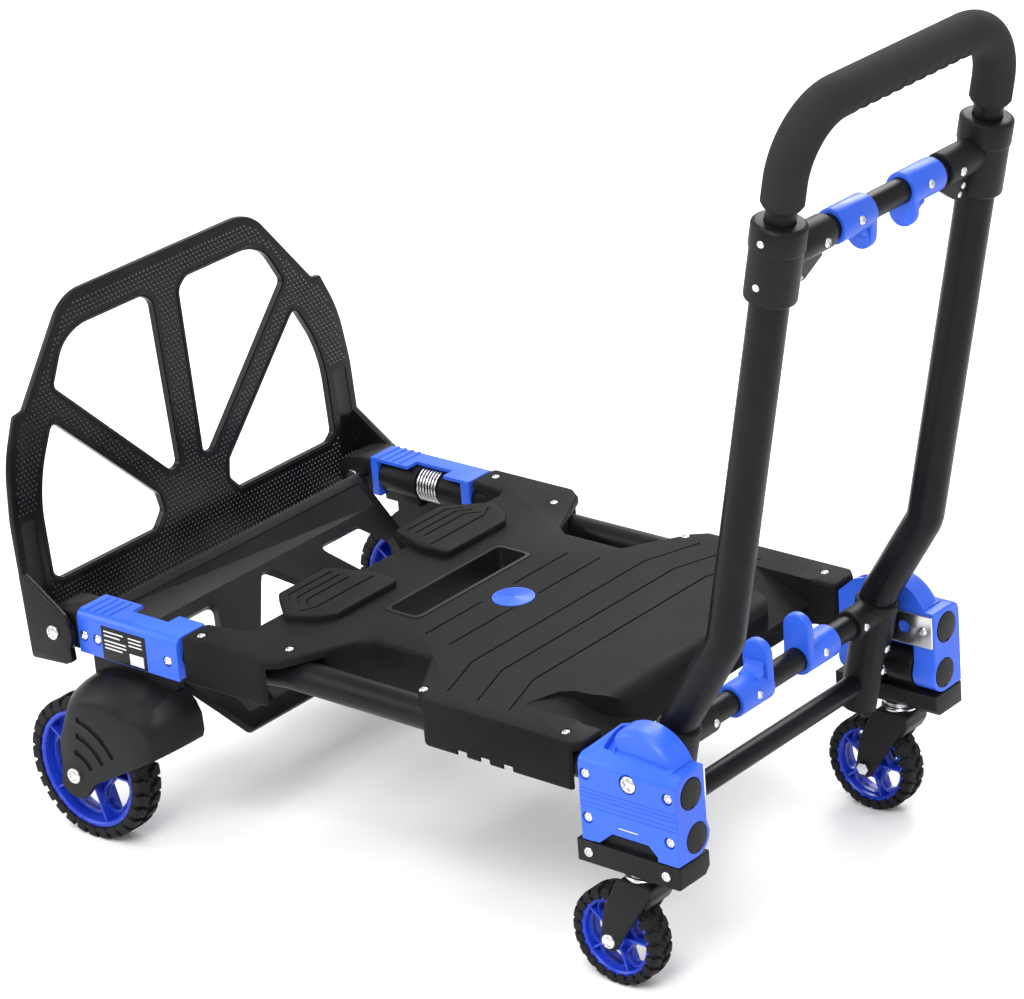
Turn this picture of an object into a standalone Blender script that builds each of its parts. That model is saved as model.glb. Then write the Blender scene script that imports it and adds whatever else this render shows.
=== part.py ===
"""Folding platform cart: a deck on two rails, a telescopic handle, casters and a toe plate.

Blender script, metres inside, +Z up.  Every size below is in millimetres and is turned into
metres by MM.  +X runs along the cart from the toe plate to the handle, the left side is -Y,
and the floor is Z = 0.  At the end the whole cart is moved by CENTRE_X, which puts the middle
of its length at X = 0.  Each named object is one separate piece of the cart.
"""
import math

import bmesh
import bpy
from mathutils import Matrix, Vector

MM = 0.001
SIDES = (("left", -1), ("right", 1))
CENTRE_X = 15.63                # middle of the cart's length before it is moved
GAP = 0.4                       # clearance between pieces that touch on the real cart

# rails and deck
RAIL_R, RAIL_WALL = 16.0, 1.6
RAIL_Y, RAIL_REAR_Y, RAIL_Z = 205.0, 222.0, 219.0
RAIL_REAR_X, RAIL_FRONT_X = -384.0, 360.0
DECK_TOP, DECK_BOTTOM, DECK_SKIN = 245.0, 196.0, 6.0
DECK_REAR_X, DECK_EAR_X, DECK_FRONT_X = -190.0, -239.0, 217.0
DECK_SIDE_Y, DECK_EAR_Y, DECK_WAIST_Y = 225.0, 243.0, 149.0
DECK_CORNER_X = 246.0           # front corners beside the handle hubs
NOTCH_IN_Y, NOTCH_OUT_Y, NOTCH_X, SCOOP_X = 134.0, 182.0, 216.0, 183.0
PAD_TOP = 252.0
SLOT_REAR_X, SLOT_FRONT_X, SLOT_Y = -105.0, -63.0, 88.0

# toe plate and the rear end
TOE_PIVOT = (-405.0, 216.0)     # X, Z
TOE_LEAN = 4.0                  # degrees outward from upright
TOE_FACE, TOE_THICK = 32.0, 7.0
TOE_LOW, TOE_HIGH = -34.0, 317.0
CHEEK_OUT_Y, CHEEK_T = 256.0, 8.0
BRACKET_REAR_X, BRACKET_FRONT_X = -380.0, -242.0
BRACKET_IN_Y, BRACKET_OUT_Y = 203.0, 246.0
BRACKET_TOP, BRACKET_LOW, BRACKET_WALL = 243.0, 197.0, 3.6
BRACE_PIVOT = (-389.0, 223.0)
BRACE_LENGTH, BRACE_THICK, BRACE_DROP, BRACE_Y = 186.0, 11.0, 44.0, 190.0

# rear wheels
REAR_AXLE = (-368.0, 77.0)
REAR_WHEEL_Y, REAR_R, REAR_RIM_R, REAR_W = 254.0, 77.0, 64.0, 35.0
FENDER_OUT_Y, FENDER_IN_Y = 285.0, 228.0
CARRIER_HUB_R = 19.2
SPRING_REAR_X, SPRING_FRONT_X = -320.0, -288.0

# front covers, lower tubes and casters
COVER_REAR_X, COVER_FRONT_X = 248.0, 361.0
COVER_IN_Y, COVER_OUT_Y = 184.0, 228.0
COVER_TOP, COVER_MID, COVER_LOW = 240.0, 200.0, 152.6
EAR_REAR_X, EAR_FRONT_X, EAR_R = 262.0, 336.0, 20.0
LOW_TUBE_Y, LOW_TUBE_Z, LOW_TUBE_R = 200.0, 172.0, 15.0
BLOCK_REAR_X, BLOCK_FRONT_X, BLOCK_TOP, BLOCK_LOW, BLOCK_IN_Y = 241.0, 361.0, 151.3, 129.0, 183.0
SWIVEL_X, CASTER_Y = 303.0, 206.0
CASTER_AXLE = (270.0, 50.0)
CASTER_R, CASTER_RIM_R, CASTER_W = 50.0, 41.0, 29.4
FORK_OUT, FORK_IN = 20.4, 17.6  # half widths of the fork legs

# handle: the pivot, the hubs that turn on it and the tubes above
PIVOT = (306.0, 222.0)
HUB_LOW, HUB_HIGH, HUB_R, HUB_Y = (288.0, 138.0), (315.0, 258.0), 20.5, 158.0
TAIL_OUT_Y, TAIL_TOP = 156.0, 196.0
TILT = math.radians(11.5)
LINE_BASE = (345.5, 215.0)      # the tubes' straight line, extended down to the hubs' height
BEND_S, COLLAR_LOW_S, COLLAR_TOP_S, CROSS_S = 144.0, 492.0, 566.0, 533.0
TUBE_R, TUBE_BORE = 18.0, 16.3
INNER_R, INNER_BORE, INNER_LOW_S = 14.0, 12.6, 200.0
GRIP_R, GRIP_LOW_S, GRIP_TOP_S, GRIP_CORNER = 19.5, 580.0, 663.5, 62.0
COLLAR_R = 24.0
BAR_R, BAR_Z = 12.0, 245.0
BAR_X = 312.0
RELEASE_BAR, RELEASE_R = (294.3, 166.0), 11.0
HOOK_Y, HOOK_HALF, HOOK_R = 53.0, 25.0, 16.2
FLANGE_IN_Y, FLANGE_OUT_Y, FLANGE_HALF = 27.5, 37.0, 15.0   # upright flange of a hook

COLOURS = {
    "black_plastic": ((0.018, 0.018, 0.020, 1), 0.55, 0.0),
    "frame_steel": ((0.012, 0.012, 0.013, 1), 0.38, 0.4),
    "blue_plastic": ((0.035, 0.13, 0.80, 1), 0.35, 0.0),
    "tyre_rubber": ((0.015, 0.015, 0.016, 1), 0.85, 0.0),
    "grip_foam": ((0.010, 0.010, 0.011, 1), 0.95, 0.0),
    "zinc_steel": ((0.62, 0.62, 0.64, 1), 0.25, 1.0),
}


def clear_scene():
    for obj in list(bpy.data.objects):
        bpy.data.objects.remove(obj, do_unlink=True)


def material(name):
    found = bpy.data.materials.get(name)
    if found:
        return found
    colour, rough, metal = COLOURS[name]
    made = bpy.data.materials.new(name)
    made.use_nodes = True
    shader = made.node_tree.nodes["Principled BSDF"]
    shader.inputs["Base Color"].default_value = colour
    shader.inputs["Roughness"].default_value = rough
    shader.inputs["Metallic"].default_value = metal
    return made


# ---- solids, all given in millimetres ----

def ring_loops(bm, loops, closed):
    """Skin a list of equal vertex loops; cap both ends, or join the last loop to the first."""
    rows = [[bm.verts.new(Vector(p) * MM) for p in loop] for loop in loops]
    count = len(rows[0])
    pairs = list(zip(rows, rows[1:])) + ([(rows[-1], rows[0])] if closed else [])
    for low, high in pairs:
        for i in range(count):
            j = (i + 1) % count
            bm.faces.new((low[i], low[j], high[j], high[i]))
    if not closed:
        bm.faces.new(rows[0])
        bm.faces.new(rows[-1])
    bmesh.ops.recalc_face_normals(bm, faces=bm.faces)
    return bm


def box(low, high):
    (x0, y0, z0), (x1, y1, z1) = low, high
    base = [(x0, y0), (x1, y0), (x1, y1), (x0, y1)]
    return ring_loops(bmesh.new(), [[(x, y, z) for x, y in base] for z in (z0, z1)], False)


def side_box(side, xs, ys, zs):
    """A box on one side of the cart: ys are distances from the middle."""
    y0, y1 = sorted(side * y for y in ys)
    return box((xs[0], y0, zs[0]), (xs[1], y1, zs[1]))


def circle(centre, radius, u, v, count, start=0.0):
    turns = [start + 2 * math.pi * i / count for i in range(count)]
    return [centre + u * (radius * math.cos(t)) + v * (radius * math.sin(t)) for t in turns]


def frame_of(direction):
    """Two unit vectors square to a direction; the second stays level with Y where it can."""
    d = direction.normalized()
    ref = Vector((0, 1, 0)) if abs(d.y) < 0.999 else Vector((1, 0, 0))
    u = (ref - d * ref.dot(d)).normalized()
    return u, d.cross(u)


def cylinder(start, end, radius, count=18):
    a, b = Vector(start), Vector(end)
    u, v = frame_of(b - a)
    return ring_loops(bmesh.new(), [circle(p, radius, u, v, count) for p in (a, b)], False)


def pipe(start, end, outer, inner, count=16):
    return tube([start, end], outer, inner, count)


def tube(path, outer, inner, count=16):
    """A hollow tube along a path of points, with its end rings closed."""
    points = [Vector(p) for p in path]
    loops = {outer: [], inner: []}
    u = v = None
    for i, p in enumerate(points):
        before, after = points[max(i - 1, 0)], points[min(i + 1, len(points) - 1)]
        d = (after - before).normalized()
        if u is None:
            u, v = frame_of(d)
        u = (u - d * u.dot(d)).normalized()
        v = d.cross(u)
        for radius in (outer, inner):
            loops[radius].append(circle(p, radius, u, v, count))
    return ring_loops(bmesh.new(), loops[outer] + loops[inner][::-1], True)


def prism(outline, plane, low, high):
    """An outline in one plane ('XY', 'XZ' or 'YZ'), extruded along the third axis."""
    place = {
        "XY": lambda a, b, c: (a, b, c),
        "XZ": lambda a, b, c: (a, c, b),
        "YZ": lambda a, b, c: (c, a, b),
    }[plane]
    loops = [[place(a, b, c) for a, b in outline] for c in (low, high)]
    return ring_loops(bmesh.new(), loops, False)


def side_prism(side, outline, ys):
    y0, y1 = sorted(side * y for y in ys)
    return prism(outline, "XZ", y0, y1)


def lathe(profile, centre, count=32):
    """A closed profile of (radius, y offset) points turned about a line along Y."""
    x, y, z = centre
    loops = []
    for i in range(count):
        t = 2 * math.pi * i / count
        loops.append([(x + r * math.cos(t), y + dy, z + r * math.sin(t)) for r, dy in profile])
    return ring_loops(bmesh.new(), loops, True)


def hull(points):
    bm = bmesh.new()
    for p in points:
        bm.verts.new(Vector(p) * MM)
    result = bmesh.ops.convex_hull(bm, input=bm.verts)
    spare = [g for g in result["geom_interior"] if isinstance(g, bmesh.types.BMVert)]
    bmesh.ops.delete(bm, geom=spare, context="VERTS")
    bmesh.ops.recalc_face_normals(bm, faces=bm.faces)
    return bm


def arc(centre, radius, start, end, steps):
    """Points of an arc, in degrees, on a plane."""
    out = []
    for i in range(steps + 1):
        t = math.radians(start + (end - start) * i / steps)
        out.append((centre[0] + radius * math.cos(t), centre[1] + radius * math.sin(t)))
    return out


def rounded(points, radius, steps=2):
    """A polyline in space with each inner corner turned into an arc."""
    pts = [Vector(p) for p in points]
    out = [pts[0]]
    for before, corner, after in zip(pts, pts[1:], pts[2:]):
        a, b = (before - corner).normalized(), (after - corner).normalized()
        half = a.angle(b) / 2
        cut = radius / math.tan(half)
        middle = corner + (a + b).normalized() * (radius / math.sin(half))
        first, last = corner + a * cut - middle, corner + b * cut - middle
        axis = first.cross(last).normalized()
        turn = first.angle(last)
        for i in range(steps + 1):
            out.append(middle + Matrix.Rotation(turn * i / steps, 3, axis) @ first)
    out.append(pts[-1])
    return out


def place(bm, name, finish):
    mesh = bpy.data.meshes.new(name)
    bm.to_mesh(mesh)
    bm.free()
    obj = bpy.data.objects.new(name, mesh)
    bpy.context.collection.objects.link(obj)
    obj.data.materials.append(material(finish))
    return obj


def piece(name, finish, base, add=(), cut=()):
    """One named piece: a base solid, solids joined to it, then solids cut from it."""
    obj = place(base, name, finish)
    for operation, solids in (("UNION", add), ("DIFFERENCE", cut)):
        for i, solid in enumerate(solids):
            tool = place(solid, f"{name}_{operation.lower()}_{i}", finish)
            tool.hide_render = True
            tool.display_type = "WIRE"
            step = obj.modifiers.new(f"{operation.lower()}_{i}", "BOOLEAN")
            step.operation = operation
            step.object = tool
    return obj


# ---- frame and deck ----

def add_rail(name, s):
    path = rounded([(RAIL_REAR_X, s * RAIL_REAR_Y, RAIL_Z), (-215, s * RAIL_REAR_Y, RAIL_Z),
                    (-130, s * RAIL_Y, RAIL_Z), (RAIL_FRONT_X, s * RAIL_Y, RAIL_Z)], 60)
    bolt_hole = cylinder((PIVOT[0], s * 180, PIVOT[1]), (PIVOT[0], s * 230, PIVOT[1]), 5.4, 10)
    piece(f"rail_{name}", "frame_steel", tube(path, RAIL_R, RAIL_R - RAIL_WALL), cut=[bolt_hole])
    plug = cylinder((RAIL_FRONT_X + GAP, s * RAIL_Y, RAIL_Z),
                    (RAIL_FRONT_X + 3, s * RAIL_Y, RAIL_Z), RAIL_R - 0.6)
    stem = cylinder((RAIL_FRONT_X - 12, s * RAIL_Y, RAIL_Z),
                    (RAIL_FRONT_X + 1, s * RAIL_Y, RAIL_Z), RAIL_R - RAIL_WALL - GAP)
    piece(f"rail_plug_{name}", "black_plastic", plug, add=[stem])


def deck_outline():
    half = [(DECK_FRONT_X, 0), (NOTCH_X, NOTCH_OUT_Y), (DECK_CORNER_X, NOTCH_OUT_Y), (DECK_CORNER_X, 214),
            (236, DECK_SIDE_Y), (60, DECK_SIDE_Y), (44, 212), (6, DECK_WAIST_Y),
            (-66, DECK_WAIST_Y), (-80, 158), (-116, 232), (-132, DECK_EAR_Y),
            (DECK_EAR_X, DECK_EAR_Y), (DECK_EAR_X, 203), (DECK_REAR_X, 196)]
    return half + [(x, -y) for x, y in reversed(half[1:])] + []


def pad_outline(s):
    half = [(-214, 52), (-168, 37), (-130, 37), (-130, 130), (-142, 145), (-172, 161), (-214, 125)]
    return [(x, s * y) for x, y in half]


def add_deck():
    under = DECK_TOP - DECK_SKIN
    low = DECK_BOTTOM - 5
    rear_hollow = box((DECK_REAR_X + 5, -182, low), (SLOT_REAR_X - 5, 182, under))
    front_hollow = prism([(SLOT_FRONT_X + 5, -144), (40, -144), (56, -182), (176, -182),
                          (176, -128), (DECK_FRONT_X - 5, -128), (DECK_FRONT_X - 5, 128),
                          (176, 128), (176, 182), (56, 182), (40, 144), (SLOT_FRONT_X + 5, 144)],
                         "XY", low, under)
    slot = box((SLOT_REAR_X, -SLOT_Y, low), (SLOT_FRONT_X, SLOT_Y, DECK_TOP + 1))
    cuts = [rear_hollow, front_hollow, slot]
    roof = RAIL_Z + RAIL_R + 1.5
    for _, s in SIDES:
        scoop = [(SCOOP_X, DECK_TOP + 0.2), (NOTCH_X + 1, 224), (NOTCH_X + 1, DECK_TOP + 9),
                 (SCOOP_X, DECK_TOP + 9)]
        cuts.append(side_prism(s, scoop, (NOTCH_IN_Y, NOTCH_OUT_Y)))
        cuts.append(side_box(s, (DECK_EAR_X - 1, -106), (200, 240), (low, roof)))
        cuts.append(side_box(s, (-196, DECK_CORNER_X + 1), (187.5, 222), (low, roof)))
        for x in (98, 126, 154):
            cuts.append(side_box(s, (x, x + 13), (220, 230), (low, DECK_BOTTOM + 6)))
    pads = [prism(pad_outline(s), "XY", DECK_TOP - 2, PAD_TOP) for _, s in SIDES]
    piece("deck_panel", "black_plastic", prism(deck_outline(), "XY", DECK_BOTTOM, DECK_TOP),
          add=pads, cut=cuts)


# ---- rear end: brackets, brace panel, toe plate, folding wheels ----

def add_rear_bracket(name, s):
    xs = (BRACKET_REAR_X, BRACKET_FRONT_X)
    top = side_box(s, xs, (BRACKET_IN_Y + 15, BRACKET_OUT_Y), (BRACKET_TOP - BRACKET_WALL, BRACKET_TOP))
    wall = side_box(s, xs, (BRACKET_OUT_Y - BRACKET_WALL, BRACKET_OUT_Y), (BRACKET_LOW, BRACKET_TOP))
    ends = [side_box(s, pair, (BRACKET_IN_Y, BRACKET_OUT_Y), (BRACKET_LOW, BRACKET_TOP))
            for pair in ((xs[0], xs[0] + 9), (xs[1] - 12, xs[1]))]
    shelf = side_box(s, (xs[0], xs[0] + 44), (BRACKET_IN_Y, BRACKET_OUT_Y),
                     (BRACKET_TOP - BRACKET_WALL, BRACKET_TOP))
    bore = cylinder((xs[0] - 5, s * RAIL_REAR_Y, RAIL_Z), (xs[1] + 5, s * RAIL_REAR_Y, RAIL_Z),
                    RAIL_R + GAP)
    piece(f"rear_bracket_{name}", "blue_plastic", top, add=[wall, shelf] + ends, cut=[bore])


def add_end_fitting(name, s):
    x, z = TOE_PIVOT
    barrel = cylinder((x, s * 204, z), (x, s * 246, z), 23, 22)
    link = side_box(s, (x, BRACKET_REAR_X - GAP), (204, 246), (199, 240))
    cuts = [cylinder((x, s * 200, z), (x, s * 250, z), 5.4, 10),
            cylinder((RAIL_REAR_X - 2, s * RAIL_REAR_Y, RAIL_Z),
                     (BRACKET_REAR_X + 5, s * RAIL_REAR_Y, RAIL_Z), RAIL_R + GAP),
            cylinder((BRACE_PIVOT[0], s * 200, BRACE_PIVOT[1]),
                     (BRACE_PIVOT[0], s * 213, BRACE_PIVOT[1]), 4.4, 10)]
    piece(f"end_fitting_{name}", "black_plastic", barrel, add=[link], cut=cuts)


def add_toe_bolt(name, s):
    x, z = TOE_PIVOT
    head = cylinder((x, s * (CHEEK_OUT_Y + GAP), z), (x, s * (CHEEK_OUT_Y + 4), z), 8, 14)
    shank = cylinder((x, s * 201, z), (x, s * (CHEEK_OUT_Y + 2), z), 5, 10)
    nut = cylinder((x, s * 199, z), (x, s * 203.6, z), 8, 6)
    piece(f"toe_bolt_{name}", "zinc_steel", head, add=[shank, nut])


def add_brace_panel():
    x, z = BRACE_PIVOT
    t = BRACE_THICK / 2
    length = BRACE_LENGTH
    half = [(length, 142), (150, 158), (82, BRACE_Y), (-3, BRACE_Y)]
    slab = prism(half + [(a, -b) for a, b in reversed(half)], "XY", -t, t)
    pin = cylinder((0, -BRACE_Y - 20, 0), (0, BRACE_Y + 20, 0), 4, 10)
    windows = [prism([(50, -78), (92, -106), (112, -126), (112, -168), (78, -172), (50, -150)],
                     "XY", -20, 20),
               prism([(50, 78), (50, 150), (78, 172), (112, 168), (112, 126), (92, 106)],
                     "XY", -20, 20),
               prism([(46, -6), (46, 6), (54, 14), (112, 66), (112, -66), (54, -14)],
                     "XY", -20, 20)]
    lower = prism([(128, -140), (168, -134), (168, 134), (128, 140)], "XY", -t - 1, t - 3.5)
    panel = piece("brace_panel", "black_plastic", slab, add=[pin], cut=windows + [lower])
    turn = Matrix.Rotation(math.radians(BRACE_DROP), 4, "Y")
    move_with_tools(panel, Matrix.Translation(Vector((x, 0, z)) * MM) @ turn)


def move_with_tools(obj, matrix):
    """Turn or move a piece and the solids that shape it."""
    for item in [obj] + [m.object for m in obj.modifiers if m.type == "BOOLEAN"]:
        item.matrix_world = matrix


def toe_outline():
    half = [(256, TOE_LOW), (256, 150), (228, 219), (214, 219), (168, 300)]
    half += arc((128, 277), 40, 35, 90, 4)
    return half + [(-y, h) for y, h in reversed(half)]


def toe_windows():
    upper = [(18, 92), (24, 88), (32, 88), (172, 229), (151, 268), (126, 280), (33, 280), (20, 270)]
    lower = [(54, 70), (50, 50), (64, 34), (203, 34), (214, 42), (213, 122), (203, 152), (182, 196)]
    return upper, lower


def add_toe_plate():
    near, far = -TOE_FACE - TOE_THICK, -TOE_FACE
    plate = prism(toe_outline(), "YZ", near, far)
    cheeks = []
    for _, s in SIDES:
        outline = [(near, TOE_LOW), (18, TOE_LOW), (25, -24), (25, 24), (14, 36), (near, 60)]
        cheeks.append(side_prism(s, outline, (CHEEK_OUT_Y - CHEEK_T, CHEEK_OUT_Y)))
    cuts = []
    for window in toe_windows():
        for _, s in SIDES:
            cuts.append(prism([(s * y, h) for y, h in window], "YZ", near - 5, far + 5))
    cuts.append(cylinder((0, -CHEEK_OUT_Y - 5, 0), (0, CHEEK_OUT_Y + 5, 0), 5.4, 10))
    toe = piece("toe_plate", "black_plastic", plate, add=cheeks, cut=cuts)
    turn = Matrix.Rotation(math.radians(-TOE_LEAN), 4, "Y")
    shift = Matrix.Translation(Vector((TOE_PIVOT[0], 0, TOE_PIVOT[1])) * MM)
    move_with_tools(toe, shift @ turn)


def fender_shell(s):
    """Dome over the wheel: a flat outer cheek, a flat inner cheek and a sloping roof."""
    x, z = REAR_AXLE
    outer = [(-386, 158), (-388, 76), (-380, 58), (x, z - 22), (-352, 60), (-290, 98),
             (-250, 122), (-250, 170)]
    inner = [(-384, 166), (-386, 76), (x, z - 22), (-352, 60), (-290, 98), (-232, 134),
             (-232, 186), (-364, 186)]
    points = [(a, s * FENDER_OUT_Y, b) for a, b in outer]
    points += [(a, s * FENDER_IN_Y, b) for a, b in inner]
    points += [(a, s * 240, 186) for a in (-362, -240)]
    return hull(points)


def add_wheel_carrier(name, s):
    x, z = REAR_AXLE
    xs = (BRACKET_REAR_X + 9 + GAP, BRACKET_FRONT_X - 12 - GAP)
    y = s * RAIL_REAR_Y
    barrels = [cylinder((a, y, RAIL_Z), (b, y, RAIL_Z), CARRIER_HUB_R, 20)
               for a, b in ((xs[0], SPRING_REAR_X - GAP), (SPRING_FRONT_X + GAP, xs[1]))]
    necks = [side_box(s, (a, b), (RAIL_REAR_Y - 11, RAIL_REAR_Y + 17), (193, RAIL_Z))
             for a, b in ((xs[0], SPRING_REAR_X - GAP), (SPRING_FRONT_X + GAP, xs[1]))]
    saddle = side_box(s, (xs[0], xs[1]), (FENDER_IN_Y + 0.4, RAIL_REAR_Y + 17), (160, 196))
    cuts = [cylinder((x, s * 234, z), (x, s * 279, z), REAR_R + 6, 28),
            cylinder((xs[0] - 9, y, RAIL_Z), (xs[1] + 9, y, RAIL_Z), RAIL_R + GAP),
            cylinder((x, s * 200, z), (x, s * 300, z), 5.4, 10)]
    piece(f"wheel_carrier_{name}", "black_plastic", fender_shell(s), add=[saddle] + necks + barrels,
          cut=cuts)
    piece(f"carrier_spring_{name}", "zinc_steel",
          pipe((SPRING_REAR_X, y, RAIL_Z), (SPRING_FRONT_X, y, RAIL_Z), 19.0, RAIL_R + GAP))


def wheel_profiles(radius, rim_radius, width, bore, hub_radius, face=1.0):
    """Profiles of a tyre and of the rim inside it, both as (radius, y offset)."""
    w = width / 2
    r = rim_radius + GAP
    tyre = [(r, -w + 3), (r + 3, -w), (radius - 4, -w), (radius, -w + 6),
            (radius, w - 6), (radius - 4, w), (r + 3, w), (r, w - 3)]
    q = rim_radius
    rim = [(bore, -w + 2), (hub_radius, -w + 2), (hub_radius, -4), (q - 6, -4), (q - 6, -w + 4),
           (q, -w + 4), (q, w - 4), (q - 6, w - 4), (q - 6, 4), (hub_radius, 4),
           (hub_radius, w - 2), (bore, w - 2)]
    return tyre, rim


def add_rear_wheel(name, s):
    x, z = REAR_AXLE
    centre = (x, s * REAR_WHEEL_Y, z)
    tyre, rim = wheel_profiles(REAR_R, REAR_RIM_R, REAR_W, 5.4, 15)
    piece(f"rear_tyre_{name}", "tyre_rubber", lathe(tyre, centre, 32))
    piece(f"rear_rim_{name}", "blue_plastic", lathe(rim, centre, 24))
    shank = cylinder((x, s * (FENDER_IN_Y + 0.5), z), (x, s * 288, z), 5, 10)
    head = cylinder((x, s * (FENDER_OUT_Y + GAP), z), (x, s * 290, z), 9, 14)
    piece(f"rear_axle_{name}", "zinc_steel", head, add=[shank])


# ---- front end: covers, folding casters ----

def ear_outline(s):
    """Cover ear around the lower tube, seen along X: round towards the middle of the cart."""
    points = [(COVER_OUT_Y, COVER_LOW), (COVER_OUT_Y, COVER_MID + 5), (COVER_IN_Y, COVER_MID + 5)]
    points += [(COVER_IN_Y, LOW_TUBE_Z + 12.0)]
    points += arc((LOW_TUBE_Y, LOW_TUBE_Z), EAR_R - GAP, 180, 270, 6)
    return [(s * y, z) for y, z in points]


def add_front_cover(name, s):
    xs = (COVER_REAR_X, COVER_FRONT_X)
    block = side_box(s, xs, (COVER_IN_Y, COVER_OUT_Y), (COVER_MID, COVER_TOP))
    wall_outline = [(xs[0], COVER_LOW), (269, COVER_LOW), (284, 165), (326, 165), (340, COVER_LOW),
                    (xs[1], COVER_LOW), (xs[1], COVER_TOP), (xs[0], COVER_TOP)]
    wall = side_prism(s, wall_outline, (COVER_OUT_Y - 5, COVER_OUT_Y))
    ears = [prism(ear_outline(s), "YZ", a, b)
            for a, b in ((xs[0], EAR_REAR_X), (EAR_FRONT_X, xs[1]))]
    hump = hull([(a, s * y, b) for radius, y in ((47, COVER_IN_Y), (47, 204), (42, 213.5))
                 for a, b in arc(PIVOT, radius, 8, 172, 16)])
    cuts = [cylinder((xs[0] - 5, s * RAIL_Y, RAIL_Z), (xs[1] + 5, s * RAIL_Y, RAIL_Z), RAIL_R + GAP),
            cylinder((xs[0] - 5, s * LOW_TUBE_Y, LOW_TUBE_Z), (xs[1] + 5, s * LOW_TUBE_Y, LOW_TUBE_Z),
                     LOW_TUBE_R + GAP),
            cylinder((PIVOT[0], s * 180, PIVOT[1]), (PIVOT[0], s * 235, PIVOT[1]), 5.4, 10)]
    piece(f"front_cover_{name}", "blue_plastic", block, add=[wall, hump] + ears, cut=cuts)


def add_lock_plate(name, s):
    plate = side_box(s, (312, 360), (181.4, 183.6), (203, 237))
    hole = cylinder((328, s * 175, 221), (328, s * 190, 221), 6.5, 14)
    piece(f"lock_plate_{name}", "zinc_steel", plate, cut=[hole])


def add_caster_tube(name, s):
    y, z, r = s * LOW_TUBE_Y, LOW_TUBE_Z, LOW_TUBE_R
    piece(f"caster_tube_{name}", "frame_steel",
          pipe((COVER_REAR_X + 1, y, z), (RAIL_FRONT_X, y, z), r, r - 2))
    plug = cylinder((RAIL_FRONT_X + GAP, y, z), (RAIL_FRONT_X + 3, y, z), r)
    stem = cylinder((RAIL_FRONT_X - 12, y, z), (RAIL_FRONT_X + 1, y, z), r - 2 - GAP)
    piece(f"caster_plug_{name}", "black_plastic", plug, add=[stem])


def add_caster_carrier(name, s):
    xs = (BLOCK_REAR_X, BLOCK_FRONT_X)
    section = [(COVER_OUT_Y, BLOCK_LOW), (COVER_OUT_Y, BLOCK_TOP), (BLOCK_IN_Y, BLOCK_TOP),
               (BLOCK_IN_Y, BLOCK_LOW + 7), (BLOCK_IN_Y + 7, BLOCK_LOW)]
    block = prism([(s * y, z) for y, z in section], "YZ", *xs)
    inside = (EAR_REAR_X + 2, EAR_FRONT_X - 2)
    rise = side_box(s, inside, (190, 222), (BLOCK_TOP - 4, 163))
    barrels = [cylinder((a, s * LOW_TUBE_Y, LOW_TUBE_Z), (b, s * LOW_TUBE_Y, LOW_TUBE_Z),
                        EAR_R - GAP, 20) for a, b in ((inside[0], 284), (304, inside[1]))]
    cuts = [cylinder((inside[0] - 9, s * LOW_TUBE_Y, LOW_TUBE_Z),
                     (inside[1] + 9, s * LOW_TUBE_Y, LOW_TUBE_Z), LOW_TUBE_R + GAP),
            cylinder((284, s * LOW_TUBE_Y, LOW_TUBE_Z), (304, s * LOW_TUBE_Y, LOW_TUBE_Z), 18.6),
            cylinder((SWIVEL_X, s * CASTER_Y, 120), (SWIVEL_X, s * CASTER_Y, 148), 6.5, 12)]
    piece(f"caster_carrier_{name}", "black_plastic", block, add=[rise] + barrels, cut=cuts)
    piece(f"caster_spring_{name}", "zinc_steel",
          pipe((285, s * LOW_TUBE_Y, LOW_TUBE_Z), (303, s * LOW_TUBE_Y, LOW_TUBE_Z), 18,
               LOW_TUBE_R + GAP))


def add_fork(name, s):
    x, z = CASTER_AXLE
    y = s * CASTER_Y
    crown = cylinder((SWIVEL_X, y, 112), (SWIVEL_X, y, 121), FORK_OUT - 0.4, 22)
    bearing = cylinder((SWIVEL_X, y, 119), (SWIVEL_X, y, 128.4), 17, 18)
    stem = cylinder((SWIVEL_X, y, 126), (SWIVEL_X, y, 146), 6, 12)
    outline = [(SWIVEL_X - 18, 118), (SWIVEL_X + 20, 118), (SWIVEL_X + 17, 104)]
    outline += [(x + 15, 52)] + arc(CASTER_AXLE, 11, -10, -190, 6) + [(x - 5, 88)]
    legs = [prism(outline, "XZ", y + a, y + b)
            for a, b in ((-FORK_OUT, -FORK_IN), (FORK_IN, FORK_OUT))]
    bridge = box((SWIVEL_X - 18, y - FORK_OUT, 112), (SWIVEL_X + 18, y + FORK_OUT, 118))
    hole = cylinder((x, y - 30, z), (x, y + 30, z), 4.4, 10)
    piece(f"caster_fork_{name}", "black_plastic", crown, add=[bearing, stem, bridge] + legs,
          cut=[hole])


def add_caster_wheel(name, s):
    x, z = CASTER_AXLE
    y = s * CASTER_Y
    tyre, rim = wheel_profiles(CASTER_R, CASTER_RIM_R, CASTER_W, 4.4, 11)
    piece(f"caster_tyre_{name}", "tyre_rubber", lathe(tyre, (x, y, z), 28))
    piece(f"caster_rim_{name}", "blue_plastic", lathe(rim, (x, y, z), 20))
    shank = cylinder((x, y - s * 24, z), (x, y + s * 24, z), 4, 10)
    head = cylinder((x, y + s * (FORK_OUT + GAP), z), (x, y + s * 25, z), 8, 14)
    nut = cylinder((x, y - s * (FORK_OUT + GAP), z), (x, y - s * 25, z), 7, 6)
    piece(f"caster_axle_{name}", "zinc_steel", shank, add=[head, nut])


# ---- handle ----

def on_line(y, s):
    """A point of the handle's plane: across the cart by y, up along the tubes by s."""
    return (LINE_BASE[0] + s * math.sin(TILT), y, LINE_BASE[1] + s * math.cos(TILT))


def along_hub(z):
    share = (z - HUB_LOW[1]) / (HUB_HIGH[1] - HUB_LOW[1])
    return HUB_LOW[0] + share * (HUB_HIGH[0] - HUB_LOW[0])


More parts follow.
